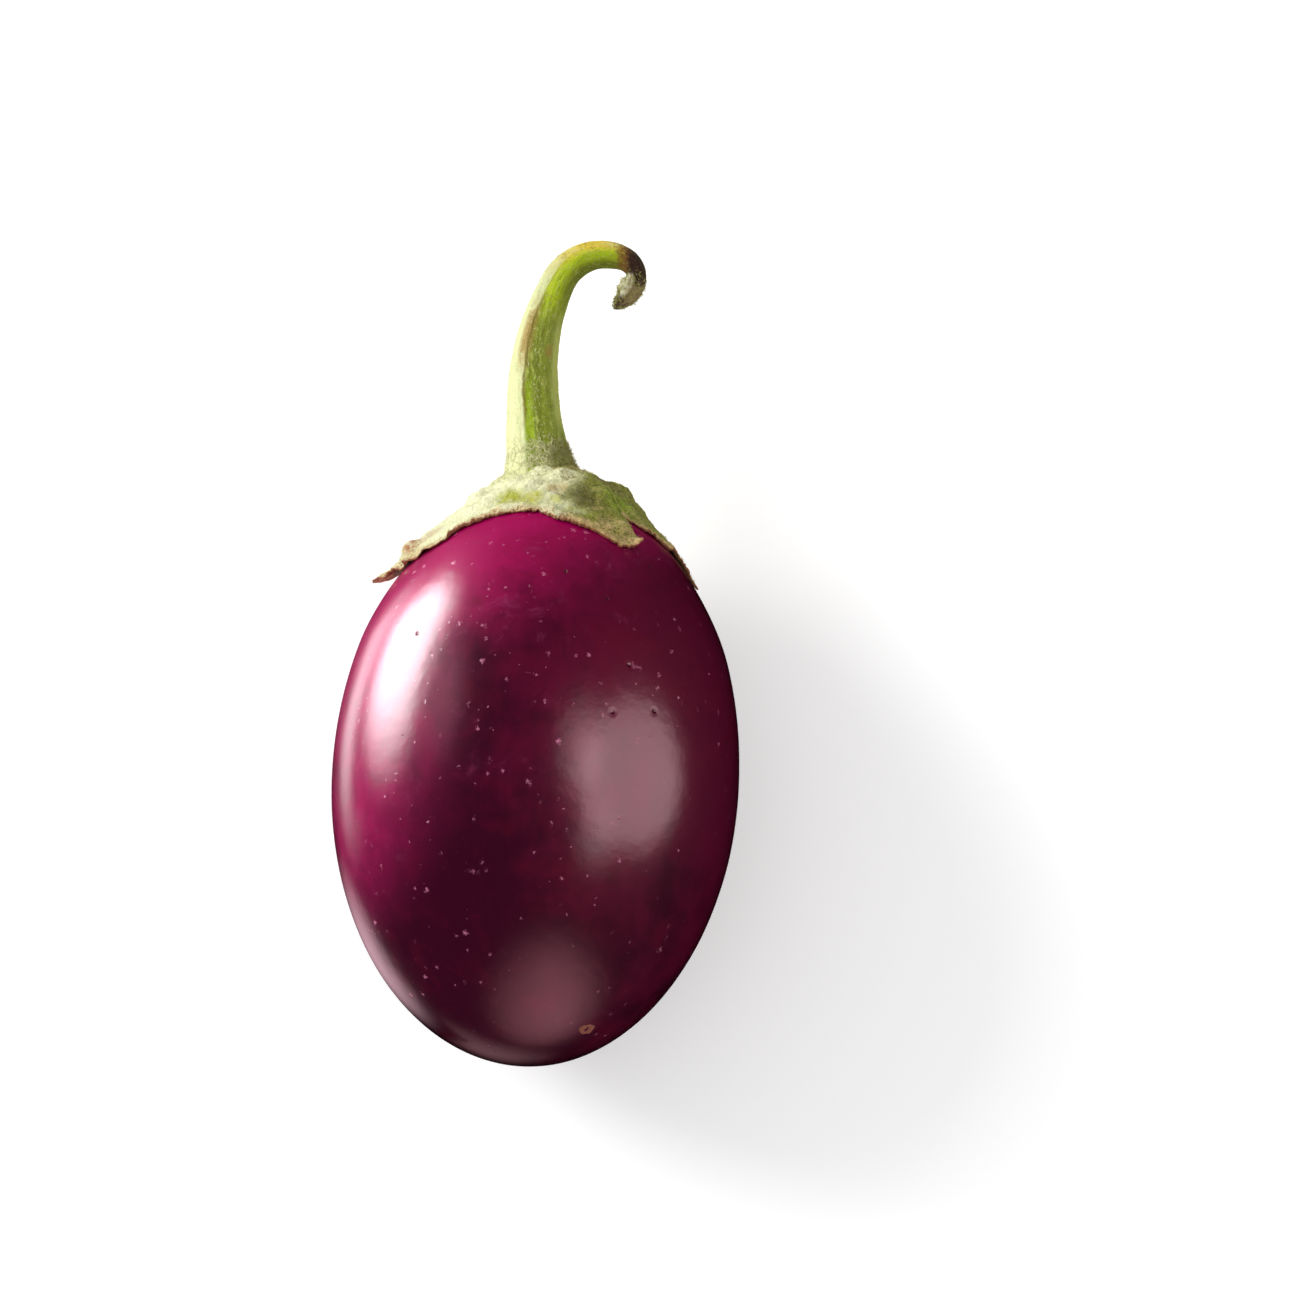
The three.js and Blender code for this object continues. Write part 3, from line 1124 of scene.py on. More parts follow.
@dataclass
class Fruit:
    """The berry with its waxy skin."""

    egg: Egg
    finish: SkinFinish
    segments: int = 336
    rings: int = 216
    wobble: float = 0.16
    wobble_size: float = 17.0
    ripple: float = 0.018
    ripple_size: float = 5.0
    crinkle: float = 0.1
    crinkle_from: Span = (26.0, 34.0)
    crinkle_to: Span = (40.0, 56.0)
    pleats_round: float = 9.0
    pleats_along: float = 2.0
    scar_polar: float = 152.2
    scar_around: float = 48.0
    scar_size: Span = (1.5, 1.1)
    scar_lip: float = 0.16
    scar_lip_at: float = 0.72
    scar_lip_width: float = 0.2
    scar_ragged: float = 0.34
    scar_slit: Span = (0.22, 0.62)
    scar_slit_depth: float = 0.12
    scar_slit_lean: float = 0.15
    scar_rough: float = 0.08
    scar_base: float = 0.05
    scar_skirt: float = 0.35
    scar_rings: int = 14
    scar_sides: int = 48

    def shape(self, material: bpy.types.Material) -> ShapeWriter:
        """Writes the tree that turns a ball into the fruit.

        Args:
            material: The skin's material.

        Returns:
            The tree.
        """
        w = ShapeWriter("egg_skin")
        radius, stem_half = w.number("Radius"), w.number("Stem half length")
        blossom_half, height = w.number("Blossom half length"), w.number("Axis height")
        bow, bow_reach = w.number("Bow"), w.number("Bow reach")
        seat_depth, seat_from, seat_to = w.number("Seat depth"), w.number("Seat from"), w.number("Seat to")
        wobble, ripple, crinkle = w.number("Wobble"), w.number("Ripple"), w.number("Crinkle")
        segments, rings = w.count("Segments"), w.count("Rings")
        unit_ball = {"Segments": segments, "Rings": rings, "Radius": 1.0}
        ball = w.add("GeometryNodeMeshUVSphere", unit_ball).outputs[0]
        px, py, pz = w.split(w.position())
        side_x, side_z, stemward = px, py * -1.0, pz
        around = side_z.math("ARCTAN2", side_x)
        polar = stemward.math("MINIMUM", 1.0).math("MAXIMUM", -1.0).math("ARCCOSINE")
        equator = 1 - stemward * stemward
        factor: Number = 1.0
        for wave in self.egg.swellings:
            turn = (around - math.radians(wave.peak)) * float(wave.count)
            factor = factor + turn.math("COSINE") * equator * wave.share
        is_stem = stemward.math("GREATER_THAN", 0.0)
        half = is_stem * stem_half + (1 - is_stem) * blossom_half
        y = half * stemward
        x = radius * factor * side_x + bow * (y / bow_reach) ** 2.0
        z = height + radius * factor * side_z
        normal = w.vector_math("NORMALIZE", w.vector(side_x / radius, stemward / half, side_z / radius))
        degrees = polar * (180 / math.pi)
        seat = seat_depth * (1 - degrees.smooth(seat_from, seat_to))
        spot = w.vector(x, y, z)
        waves = w.noise(spot, self.wobble_size, 1.0) * wobble
        waves = waves + w.noise(spot, self.ripple_size, 1.0) * ripple
        often, seldom = self.pleats_round, self.pleats_along
        pleats = w.noise(w.vector(side_x * often, stemward * seldom, side_z * often), 1.0, 1.0)
        pinch = pleats * crinkle * degrees.smooth(*self.crinkle_from)
        pinch = pinch * (1 - degrees.smooth(*self.crinkle_to))
        lifted = w.vector_math("ADD", spot, w.scaled(normal, waves + pinch - seat))
        lx, ly, lz = w.split(lifted)
        rested = w.vector(lx * MM, ly * MM, lz.math("MAXIMUM", 0.0) * MM)
        skin = w.add("GeometryNodeSetPosition", {"Geometry": ball, "Position": rested}).outputs[0]
        w.finish(skin, material)
        return w

    def build(self) -> list[bpy.types.Object]:
        """Makes the skin.

        Returns:
            The one piece.
        """
        egg = self.egg
        values = {
            "Radius": egg.radius,
            "Stem half length": egg.stem_half,
            "Blossom half length": egg.blossom_half,
            "Axis height": egg.axis_height(),
            "Bow": egg.bow,
            "Bow reach": egg.bow_reach,
            "Seat depth": egg.seat_depth,
            "Seat from": egg.seat_from,
            "Seat to": egg.seat_to,
            "Wobble": self.wobble,
            "Ripple": self.ripple,
            "Crinkle": self.crinkle,
            "Segments": self.segments,
            "Rings": self.rings,
        }
        skin = harden("fruit_skin", carrier("fruit"), self.shape(self.finish.material()), values)
        return [settle(skin, Slot.SKIN, Node.FRUIT), settle(self.scar(), Slot.SKIN)]

    def scar(self) -> bpy.types.Object:
        """Makes the small corky scar at the blossom end.

        Returns:
            The piece, a low rough mound that follows the skin, with the number depth on its points.
        """
        polar, around = math.radians(self.scar_polar), math.radians(self.scar_around)
        centre = self.egg.over(np.array([polar]), np.array([around]), np.zeros(1))[0]
        normal = self.egg.normal(np.array([polar]), np.array([around]))[0]
        side = np.cross(normal, (0.0, 1.0, 0.0))
        side = side / np.linalg.norm(side)
        down = np.cross(side, normal)
        rows, depths = [], []
        for ring in range(self.scar_rings + 1):
            share = ring / self.scar_rings
            for step in range(self.scar_sides if ring else 1):
                turn = 2 * math.pi * step / self.scar_sides
                edge = Vector((1.7 * math.cos(turn), 1.7 * math.sin(turn), 5.0))
                ragged = 1 + self.scar_ragged * noise.noise(edge)
                u = self.scar_size[0] * share * ragged * math.cos(turn)
                v = self.scar_size[1] * share * ragged * math.sin(turn)
                slit = self.slit(u, v)
                height = self.scar_height(share, u, v, slit)
                rows.append(self.over_patch(centre + side * u + down * v, height))
                depths.append(slit)
        mesh = disc("blossom_scar", np.array(rows) * MM, self.scar_sides, self.scar_rings)
        mesh.attributes.new("depth", "FLOAT", "POINT").data.foreach_set("value", depths)
        mesh.materials.append(ScarFinish().material())
        return place("blossom_scar", mesh)

    def slit(self, u: float, v: float) -> float:
        """Gives how deep in the scar's middle slit a place is, from 0 to 1."""
        wide, long = self.scar_slit
        return math.exp(-((u - self.scar_slit_lean * v) / wide) ** 2) * math.exp(-((v / long) ** 2))

    def scar_height(self, share: float, u: float, v: float, slit: float) -> float:
        """Gives the scar's height over the skin.

        Args:
            share: How far out from the middle, from 0 to 1.
            u: The place across the scar in millimetres.
            v: The place down the scar in millimetres.
            slit: How deep in the slit it is, from 0 to 1.

        Returns:
            The height in millimetres, below the skin at the edge.
        """
        lip = math.exp(-(((share - self.scar_lip_at) / self.scar_lip_width) ** 2))
        rough = noise.noise(Vector((u * 3.2, v * 3.2, 2.0))) * (1 - share)
        mound = self.scar_lip * lip - self.scar_slit_depth * slit + self.scar_rough * rough
        return mound + self.scar_base - self.scar_skirt * share**6

    def over_patch(self, point: np.ndarray, height: float) -> np.ndarray:
        """Moves a point near the blossom end's skin to a height over it, in millimetres."""
        egg = self.egg
        polar = math.acos(max(-1.0, point[1] / egg.blossom_half))
        around = math.atan2(point[2] - egg.axis_height(), point[0])
        return egg.over(np.array([polar]), np.array([around]), np.array([height]))[0]


@dataclass(frozen=True)
class Curl:
    """A place where the calyx stands off the fruit: its direction and polar angle in degrees, its
    height, and how far it spreads round and along the fruit in millimetres."""

    at: float
    polar: float
    height: float
    across: float
    along: float


def turned(around: np.ndarray, at: float) -> np.ndarray:
    """Gives how far directions are from another, from -180 to 180 degrees."""
    return (around - at + 180) % 360 - 180


def bumps(points: np.ndarray, layers: Layers) -> np.ndarray:
    """Adds up layers of smooth noise.

    Args:
        points: Rows of places.
        layers: How high each layer's bumps are, and how far apart.

    Returns:
        One height for each row.
    """
    flat = points.reshape(-1, 3)
    heights = [sum(high * noise.noise(Vector(p) / apart) for high, apart in layers) for p in flat]
    return np.array(heights).reshape(points.shape[:-1])


@dataclass
class Calyx:
    """The fleshy disc round the stem, with five pointed lobes that lie on the fruit."""

    egg: Egg
    finish: CalyxFinish
    gap: float = 0.08
    lobe_thickness: float = 0.34
    disc_thickness: float = 2.1
    disc_tilt: float = 0.085
    disc_dip: float = 0.06
    disc_centre: float = 0.2
    disc_tilt_span: Span = (-9.0, 7.0)
    disc_dip_span: Span = (0.0, 9.0)
    disc_flat: float = 7.0
    disc_thin: float = 14.0
    stem_x: float = -2.2
    stem_radius: float = 4.4
    stem_fillet: float = 0.5
    fillet_width: float = 2.0
    vein_height: float = 0.18
    vein_width: float = 1.3
    vein_start: Span = (8.0, 22.0)
    veins: tuple[float, ...] = (53, 172, 247, 302)
    lumps: Layers = ((0.8, 4.4), (0.6, 1.9), (0.16, 0.8), (0.07, 0.4))
    lump_fade: Span = (26.0, 38.0)
    lump_loss: float = 0.72
    ragged: Layers = ((0.6, 0.11), (0.6, 0.045), (0.5, 0.019), (0.3, 0.009))
    crumples: Layers = ((1.5, 2.1), (1.1, 0.8), (0.5, 0.35))
    crumple_height: float = 0.26
    crumple_from: float = 0.84
    row_crowding: float = 0.85
    rim_bulge: float = 0.45
    felt_bare: float = -0.4
    felt_share: float = 0.26
    felt_tuft: float = 0.7
    felt_tuft_fade: Span = (0.5, 4.0)
    felt_rim: float = 0.25
    columns: int = 720
    top_rows: int = 88
    under_rows: int = 16
    rim_rows: int = 5
    rim: Layers = (
        (0, 47.0), (3, 46.0), (8, 43.0), (14, 40.8), (21.5, 38.7), (27, 37.3), (33, 35.6), (40, 33.6),
        (45.4, 32.0), (47.4, 32.2), (48.4, 37.0), (49.2, 41.0), (50.4, 43.0), (52.6, 43.5),
        (55.5, 42.9), (59, 43.2), (62.3, 42.1), (66, 40.0), (71, 38.6), (78, 37.7), (85, 36.1),
        (92.5, 34.2), (100, 33.5), (108, 33.8), (118, 34.9), (127, 36.9), (134.6, 39.9), (139, 43.0),
        (144.7, 45.0), (150.6, 46.3), (155.5, 47.4), (160, 48.6), (166, 49.8), (171, 51.2),
        (174.5, 52.2), (176.5, 52.9), (178, 52.9), (180, 52.0), (183, 49.0), (190, 44.5),
        (200, 40.5), (210, 36.5), (220, 34.5), (226, 33.8), (234, 37.0), (241, 42.0), (245, 45.6),
        (248, 46.2), (252, 43.5), (258, 38.5), (266, 35.0), (273, 33.6), (282, 35.0), (292, 40.5),
        (298, 46.0), (302, 48.2), (306, 46.0), (313, 40.0), (322, 35.5), (330, 33.8), (340, 36.0),
        (348, 40.5), (353, 44.8), (357, 47.6),
    )
    curls: tuple[Curl, ...] = (
        Curl(177, 54.4, 2.2, 3.2, 2.8),
        Curl(168, 49.0, 0.7, 1.2, 1.2),
        Curl(167, 45.2, 0.9, 1.5, 1.4),
        Curl(165, 43.0, 1.3, 1.3, 1.3),
        Curl(168, 39.0, 0.6, 1.5, 1.5),
        Curl(160, 23.5, 0.7, 2.0, 1.6),
        Curl(158, 48.0, 0.7, 0.9, 1.0),
        Curl(147, 46.6, 0.6, 1.1, 1.0),
        Curl(134, 41.6, 0.5, 1.2, 0.9),
        Curl(49.8, 42.6, 1.3, 0.8, 1.2),
        Curl(358, 49.0, 0.3, 2.0, 1.6),
        Curl(247, 46, 0.5, 2.5, 3.0),
        Curl(302, 48, 0.9, 2.5, 3.5),
    )
    degree: float = 0.62

    def edge(self, around: np.ndarray) -> np.ndarray:
        """Gives the polar angle in degrees at which the calyx ends, for directions in degrees."""
        edge = np.interp(around, *zip(*self.rim), period=360)
        turn = np.radians(around)
        circle = np.stack([np.cos(turn), np.sin(turn), np.full_like(turn, 3.1)], -1)
        return edge + bumps(circle, self.ragged)

    def lift(self, polar: np.ndarray, around: np.ndarray) -> np.ndarray:
        """Gives how far the calyx stands off the fruit at its curls.

        Args:
            polar: Polar angles in degrees.
            around: Directions in degrees.

        Returns:
            Heights in millimetres.
        """
        lift = np.zeros_like(polar * around)
        ring = self.egg.radius * degrees_sin(polar)
        for curl in self.curls:
            across = ring * np.radians(turned(around, curl.at)) / curl.across
            along = (polar - curl.polar) * self.degree / curl.along
            lift = lift + curl.height * np.exp(-(across**2) - along**2)
        return lift

    def crumple(self, points: np.ndarray, share: np.ndarray) -> np.ndarray:
        """Gives the dry rim's own waves in millimetres, never below the fruit's skin."""
        waves = np.clip(0.5 + bumps(points, self.crumples), 0, 1.6)
        return self.crumple_height * waves * smoothstep(self.crumple_from, 1.0, share)

    def relief(self, points: np.ndarray, polar: np.ndarray, around: np.ndarray) -> np.ndarray:
        """Gives the top's bumps and veins in millimetres.

        Args:
            points: Places on the underside, in millimetres.
            polar: Their polar angles in degrees.
            around: Their directions in degrees.

        Returns:
            Heights to add to the top.
        """
        veins = np.zeros_like(polar * around)
        ring = self.egg.radius * degrees_sin(polar)
        for at in self.veins:
            away = ring * np.radians(turned(around, at))
            strength = smoothstep(*self.vein_start, polar)
            veins = veins + self.vein_height * np.exp(-((away / self.vein_width) ** 2)) * strength
        body = 1 - self.lump_loss * smoothstep(*self.lump_fade, polar)
        return veins + bumps(points, self.lumps) * body

    def thickness(self, polar: np.ndarray, around: np.ndarray) -> np.ndarray:
        """Gives the calyx's thickness: a thick disc round the stem that thins to the lobes.

        Args:
            polar: Polar angles in degrees.
            around: Directions in degrees.

        Returns:
            Thicknesses in millimetres.
        """
        away = self.from_axis(polar, around, self.disc_centre)
        ring = self.egg.radius * degrees_sin(polar)
        tilted = self.disc_tilt * np.clip(ring * degrees_cos(around), *self.disc_tilt_span)
        dipped = self.disc_dip * np.clip(ring * degrees_sin(around), *self.disc_dip_span)
        full = self.disc_thickness + tilted - dipped
        disc = 1 - smoothstep(self.disc_flat, self.disc_thin, away)
        beside = self.from_axis(polar, around, self.stem_x) - self.stem_radius
        fillet = np.clip(1 - beside / self.fillet_width, 0, 1)
        return self.lobe_thickness + (full - self.lobe_thickness) * disc + self.stem_fillet * fillet**2

    def from_axis(self, polar: np.ndarray, around: np.ndarray, x: float) -> np.ndarray:
        """Gives distances from a line along Y at a place across, in millimetres."""
        ring = self.egg.radius * degrees_sin(polar)
        return np.hypot(ring * degrees_cos(around) - x, ring * degrees_sin(around))

    def laid(self, polar: np.ndarray, around: np.ndarray, height: np.ndarray) -> np.ndarray:
        """Gives points over the fruit for angles in degrees."""
        return self.egg.over(np.radians(polar), np.radians(around), height)

    def mesh(self) -> bpy.types.Mesh:
        """Lays the calyx out: along its underside, round its rim and back over its top.

        Returns:
            The closed mesh, in metres, with the numbers rim, hollow and felt on its points.
        """
        around = np.arange(self.columns) * 360 / self.columns
        edge = self.edge(around)
        out = np.linspace(0, 1, self.under_rows + 1)[1:]
        back = np.linspace(1, 0, self.top_rows + 1)[:-1] ** self.row_crowding
        under = self.sheet(out, edge, around)
        low = self.sheet(back, edge, around)
        polar = back[:, None] * edge
        relief = self.relief(low, polar, around)
        height = self.lifted(back[:, None] * np.ones_like(edge), polar, around, low)
        over = self.laid(polar, around, height + self.thickness(polar, around) + relief)
        rings = np.concatenate([under, self.rounded(under[-2], under[-1], over[0]), over])
        middle = np.zeros(1)
        pole_low = self.laid(middle, middle, self.gap + middle)
        pole_top = self.laid(middle, middle, self.gap + self.thickness(middle, middle))
        points = np.concatenate([pole_low, rings.reshape(-1, 3), pole_top]) * MM
        mesh = loft("calyx", points, self.columns, len(rings))
        rows = np.concatenate([out, np.full(self.rim_rows, 1.02), back])
        self.keep(mesh, "rim", rows[:, None] * np.ones(self.columns))
        self.keep(mesh, "hollow", self.topped(np.clip(-relief * 2.2, 0, 1), len(rings)))
        self.keep(mesh, "felt", self.topped(self.felt(polar, around, back[:, None]), len(rings)))
        return mesh

    def felt(self, polar: np.ndarray, around: np.ndarray, share: np.ndarray) -> np.ndarray:
        """Gives how thick the felt is on the top: most at the stem, and some more at the rim.

        Args:
            polar: Polar angles in degrees.
            around: Directions in degrees.
            share: How far out towards the edge, from 0 to 1.

        Returns:
            Shares of the full felt.
        """
        beside = self.from_axis(polar, around, self.stem_x) - self.stem_radius
        tuft = self.felt_tuft * (1 - smoothstep(*self.felt_tuft_fade, beside))
        rim = self.felt_rim * smoothstep(0.7, 1.0, share)
        return (beside > self.felt_bare) * (self.felt_share + tuft + rim)

    def topped(self, top: np.ndarray, rings: int) -> np.ndarray:
        """Adds rings of zeros for the underside and the rim to the numbers of the top."""
        return np.concatenate([np.zeros((rings - len(top), self.columns)), top])

    def sheet(self, shares: np.ndarray, edge: np.ndarray, around: np.ndarray) -> np.ndarray:
        """Lays out the underside.

        Args:
            shares: Rows as shares of the way out to the edge.
            edge: The edge's polar angle in each direction, in degrees.
            around: The directions in degrees.

        Returns:
            Rows by columns of x, y and z in millimetres.
        """
        polar = shares[:, None] * edge
        flat = self.laid(polar, around, np.zeros_like(polar))
        height = self.lifted(shares[:, None] * np.ones_like(edge), polar, around, flat)
        return self.laid(polar, around, height)

    def lifted(
        self, share: np.ndarray, polar: np.ndarray, around: np.ndarray, points: np.ndarray
    ) -> np.ndarray:
        """Gives the underside's height over the skin in millimetres."""
        return self.gap + self.lift(polar, around) + self.crumple(points, share)

    def rounded(self, inner: np.ndarray, low: np.ndarray, high: np.ndarray) -> np.ndarray:
        """Rounds the rim off between the underside's edge and the top's.

        Args:
            inner: The underside's last ring but one.
            low: The underside's edge.
            high: The top's edge.

        Returns:
            The rings between them.
        """
        outward = low - inner
        outward = outward / np.linalg.norm(outward, axis=1, keepdims=True)
        bulge = np.linalg.norm(high - low, axis=1, keepdims=True) * self.rim_bulge
        turns = [math.pi * step / (self.rim_rows + 1) for step in range(1, self.rim_rows + 1)]
        return np.stack(
            [low + (high - low) * (1 - math.cos(t)) / 2 + outward * bulge * math.sin(t) for t in turns]
        )

    def keep(self, mesh: bpy.types.Mesh, name: str, values: np.ndarray) -> None:
        """Keeps a number on every point, with the ends' taken from the rings next to them."""
        flat = np.concatenate([values[0, :1], values.ravel(), values[-1, :1]])
        mesh.attributes.new(name, "FLOAT", "POINT").data.foreach_set("value", flat)

    def build(self) -> list[bpy.types.Object]:
        """Makes the calyx.

        Returns:
            The one piece.
        """
        mesh = self.mesh()
        mesh.materials.append(self.finish.material())
        return [settle(place("calyx_cap", mesh), Slot.CALYX, Node.CALYX)]


def disc(name: str, points: np.ndarray, sides: int, rings: int) -> bpy.types.Mesh:
    """Closes a middle point and rings of points to a smooth disc.

    Args:
        name: The mesh's name.
        points: The middle and then the rings, in metres.
        sides: Points in a ring.
        rings: How many rings there are.

    Returns:
        The mesh.
    """
    faces = [(0, 1 + c, 1 + (c + 1) % sides) for c in range(sides)]
    for r in range(rings - 1):
        low, high = 1 + r * sides, 1 + (r + 1) * sides
        faces += [(low + c, high + c, high + (c + 1) % sides, low + (c + 1) % sides) for c in range(sides)]
    mesh = bpy.data.meshes.new(name)
    mesh.from_pydata(points.tolist(), [], faces)
    mesh.shade_smooth()
    return mesh


def loft(name: str, points: np.ndarray, columns: int, rings: int) -> bpy.types.Mesh:
    """Closes rings of points, with a single point at each end, to a smooth mesh.

    Args:
        name: The mesh's name.
        points: Start point, rings and end point, in metres.
        columns: Points in a ring.
        rings: How many rings there are.

    Returns:
        The mesh, facing out where the rings turn from +X towards +Z and run out and back.
    """
    faces = []
    last = len(points) - 1
    for c in range(columns):
        d = (c + 1) % columns
        faces.append((0, 1 + c, 1 + d))
        for r in range(rings - 1):
            low, high = 1 + r * columns, 1 + (r + 1) * columns
            faces.append((low + c, high + c, high + d, low + d))
        low = 1 + (rings - 1) * columns
        faces.append((low + c, last, low + d))
    mesh = bpy.data.meshes.new(name)
    mesh.from_pydata(points.tolist(), [], faces)
    mesh.shade_smooth()
    mesh.validate()
    return mesh


@dataclass(frozen=True)
class Arc:
    """A stretch of the stem: how far it runs in millimetres and how far it turns in degrees."""

    run: float
    turn: float


@dataclass
class Stem:
    """The ribbed stalk, swept along a chain of arcs to its torn end."""

    egg: Egg
    finish: StemFinish
    foot_x: float = -2.2
    lean: float = 10.5
    foot_height: float = 2.8
    sunk: float = 2.9
    drop: float = 1.5
    arcs: tuple[Arc, ...] = (Arc(9.4, 5), Arc(17.2, 27), Arc(10.8, 86), Arc(9.0, 154.5))
    radii: Layers = (
        (-2.9, 5.5), (-1.2, 4.95), (0, 4.6), (1, 4.35), (6, 3.85), (15, 3.2), (26, 2.42), (36, 1.9),
        (38, 1.65), (41, 1.25), (43, 1.05), (46, 0.9), (46.7, 0.75),
    )
    ribs: int = 5
    rib_depth: float = 0.06
    rib_peak: float = 57.0
    groove_at: float = 97.0
    groove_depth: float = 0.05
    groove_width: float = 10.0
    groove_end: Span = (26.0, 34.0)
    rib_fade: Span = (30.0, 44.0)
    rib_middle: float = 0.64
    lump_depth: float = 0.12
    fine_depth: float = 0.06
    step: float = 0.2
    hook_opens: Span = (39.8, 42.0)
    torn_reach: float = 2.4
    end_dip: float = 0.9
    felt_foot: Span = (1.0, 4.2)
    felt_foot_share: float = 1.6
    felt_foot_at: float = 50.0
    felt_end: Span = (39.5, 42.0)
    felt_end_share: float = 0.8
    felt_least: float = 0.1
    felt_from: float = -1.6
    sides: int = 120
    rows: int = 300

    def line(self) -> tuple[np.ndarray, np.ndarray]:
        """Works out the centre line.

        Returns:
            Rows of x, y and z in millimetres, and the distance along the line at each.
        """
        x, y, heading = self.foot_x, self.foot_y(), -math.radians(self.lean)
        length = sum(arc.run for arc in self.arcs)
        start = -self.sunk
        rows = [(x + math.sin(heading) * start, y + math.cos(heading) * start, 0.0)]
        distances = [start]
        done = 0.0
        for arc in self.arcs:
            steps = round(arc.run / self.step)
            for _ in range(steps):
                rows.append((x, y, -self.drop * (done / length) ** 2))
                distances.append(done)
                heading += math.radians(arc.turn) / steps
                x += math.sin(heading) * arc.run / steps
                y += math.cos(heading) * arc.run / steps
                done += arc.run / steps
        rows.append((x, y, -self.drop))
        distances.append(done)
        line = np.array(rows)
        line[:, 2] += self.egg.axis_height()
        return line, np.array(distances)

    def foot_y(self) -> float:
        """Gives where the stem meets the calyx's disc."""
        share = self.foot_x / (self.egg.radius + self.foot_height)
        return (self.egg.stem_half + self.foot_height) * math.sqrt(1 - share**2)

    def path(self) -> bpy.types.Object:
        """Draws the centre line as a curve whose radius is the stem's."""
        line, distances = self.line()
        radius = np.interp(distances, *zip(*self.radii))
        curve = bpy.data.curves.new("stem_line", "CURVE")
        curve.dimensions = "3D"
        spline = curve.splines.new("POLY")
        spline.points.add(len(line) - 1)
        for point, (x, y, z), size in zip(spline.points, line, radius):
            point.co = (x * MM, y * MM, z * MM, 1)
            point.radius = size * MM
        path = bpy.data.objects.new("stem_line", curve)
        bpy.context.scene.collection.objects.link(path)
        return path

    def shape(self, material: bpy.types.Material) -> ShapeWriter:
        """Writes the tree that bends a ribbed cylinder along the centre line.

        Args:
            material: The stem's material.

        Returns:
            The tree.
        """
        w = ShapeWriter("ribbed_sweep")
        path = w.socket("Path", "NodeSocketObject")
        sides, rows = w.count("Sides"), w.count("Rows")
        ribs, depth, peak = w.number("Ribs"), w.number("Rib depth"), w.number("Rib peak")
        groove_at, groove_depth = w.number("Groove at"), w.number("Groove depth")
        groove_width = w.number("Groove width")
        length, sunk = w.number("Length"), w.number("Sunk")
        line = w.add("GeometryNodeObjectInfo", {"Object": path}).outputs["Geometry"]
        inputs = {"Vertices": sides, "Side Segments": rows, "Fill Segments": 10, "Radius": 1.0, "Depth": 1.0}
        rod = w.add("GeometryNodeMeshCylinder", inputs, fill_type="TRIANGLE_FAN").outputs["Mesh"]
        px, py, pz = w.split(w.position())
        share = pz + 0.5
        fill = (px * px + py * py).math("SQRT")
        turn = py.math("ARCTAN2", px) * (180 / math.pi)
        around = turn + turn.math("LESS_THAN", -90.0) * 360.0
        size = w.add("GeometryNodeInputRadius").outputs[0]
        sample = w.add("GeometryNodeSampleCurve", mode="FACTOR", data_type="FLOAT", use_all_curves=False)
        w.fill(sample, Curves=line, Value=size, Factor=share)
        outs = {s.name: s for s in sample.outputs if s.enabled}
        along = share * length - sunk
        end = length - sunk
        wave = ((around - peak) * ribs * (math.pi / 360)).math("COSINE").math("ABSOLUTE")
        off = (around - groove_at) / groove_width
        groove = (off * off * -1.0).math("EXPONENT") * (1 - along.smooth(*self.groove_end))
        fading = 1 - along.smooth(*self.rib_fade) * 0.5
        lumps = w.noise(w.vector(px * 1.6, py * 1.6, along * 0.22), 1.0, 2.0) * self.lump_depth
        fine = w.noise(w.vector(px * 5.0, py * 5.0, along * 0.12), 1.0, 2.0) * self.fine_depth
        factor = (wave - self.rib_middle) * depth * fading + 1 + lumps + fine - groove * groove_depth
        inside = px.smooth(0.1, 0.9) * along.smooth(*self.hook_opens) * (1 - along.smooth(end - 2.0, end))
        fibres = w.noise(w.vector(px * 7.0, py * 7.0, along * 0.5), 1.0, 2.0)
        reach = w.field(outs["Value"]) * factor + inside * (fibres * 1.4 + 1.25) * MM * fill
        torn = w.noise(w.vector(px * 3.0, py * 3.0, 4.0), 1.0, 3.0) * along.smooth(end - 2.5, end)
        cap = (1 - fill) * share.smooth(0.995, 1.0) * -self.end_dip * MM + torn * self.torn_reach * MM
        tangent = outs["Tangent"]
        across = w.vector_math("NORMALIZE", w.vector_math("CROSS_PRODUCT", tangent, (0, 0, 1)))
        moved = w.vector_math("ADD", outs["Position"], w.scaled(across, px * reach))
        moved = w.vector_math("ADD", moved, w.vector(0.0, 0.0, py * reach))
        moved = w.vector_math("ADD", moved, w.scaled(tangent, cap))
        stalk = w.store(rod, "along", along)
        stalk = w.store(stalk, "around", around)
        stalk = w.store(stalk, "felt", self.felt(along, around))
        stalk = w.add("GeometryNodeSetPosition", {"Geometry": stalk, "Position": moved}).outputs[0]
        stalk = w.add("GeometryNodeFlipFaces", {"Mesh": stalk}).outputs[0]
        w.finish(stalk, material)
        return w

    def felt(self, along: Field, around: Field) -> Field:
        """Gives how thick the felt is: most round the foot's near side, and some in the hook.

        Args:
            along: The place along the stem in millimetres.
            around: The direction round it in degrees.

        Returns:
            The share of the full felt.
        """
        near = 1 - (around - self.felt_foot_at).math("ABSOLUTE").smooth(30.0, 90.0)
        foot = (1 - along.smooth(*self.felt_foot)) * self.felt_foot_share * (0.4 + 0.6 * near)
        hook = along.smooth(*self.felt_end) * self.felt_end_share
        return (foot + hook).math("MAXIMUM", self.felt_least) * along.math("GREATER_THAN", self.felt_from)

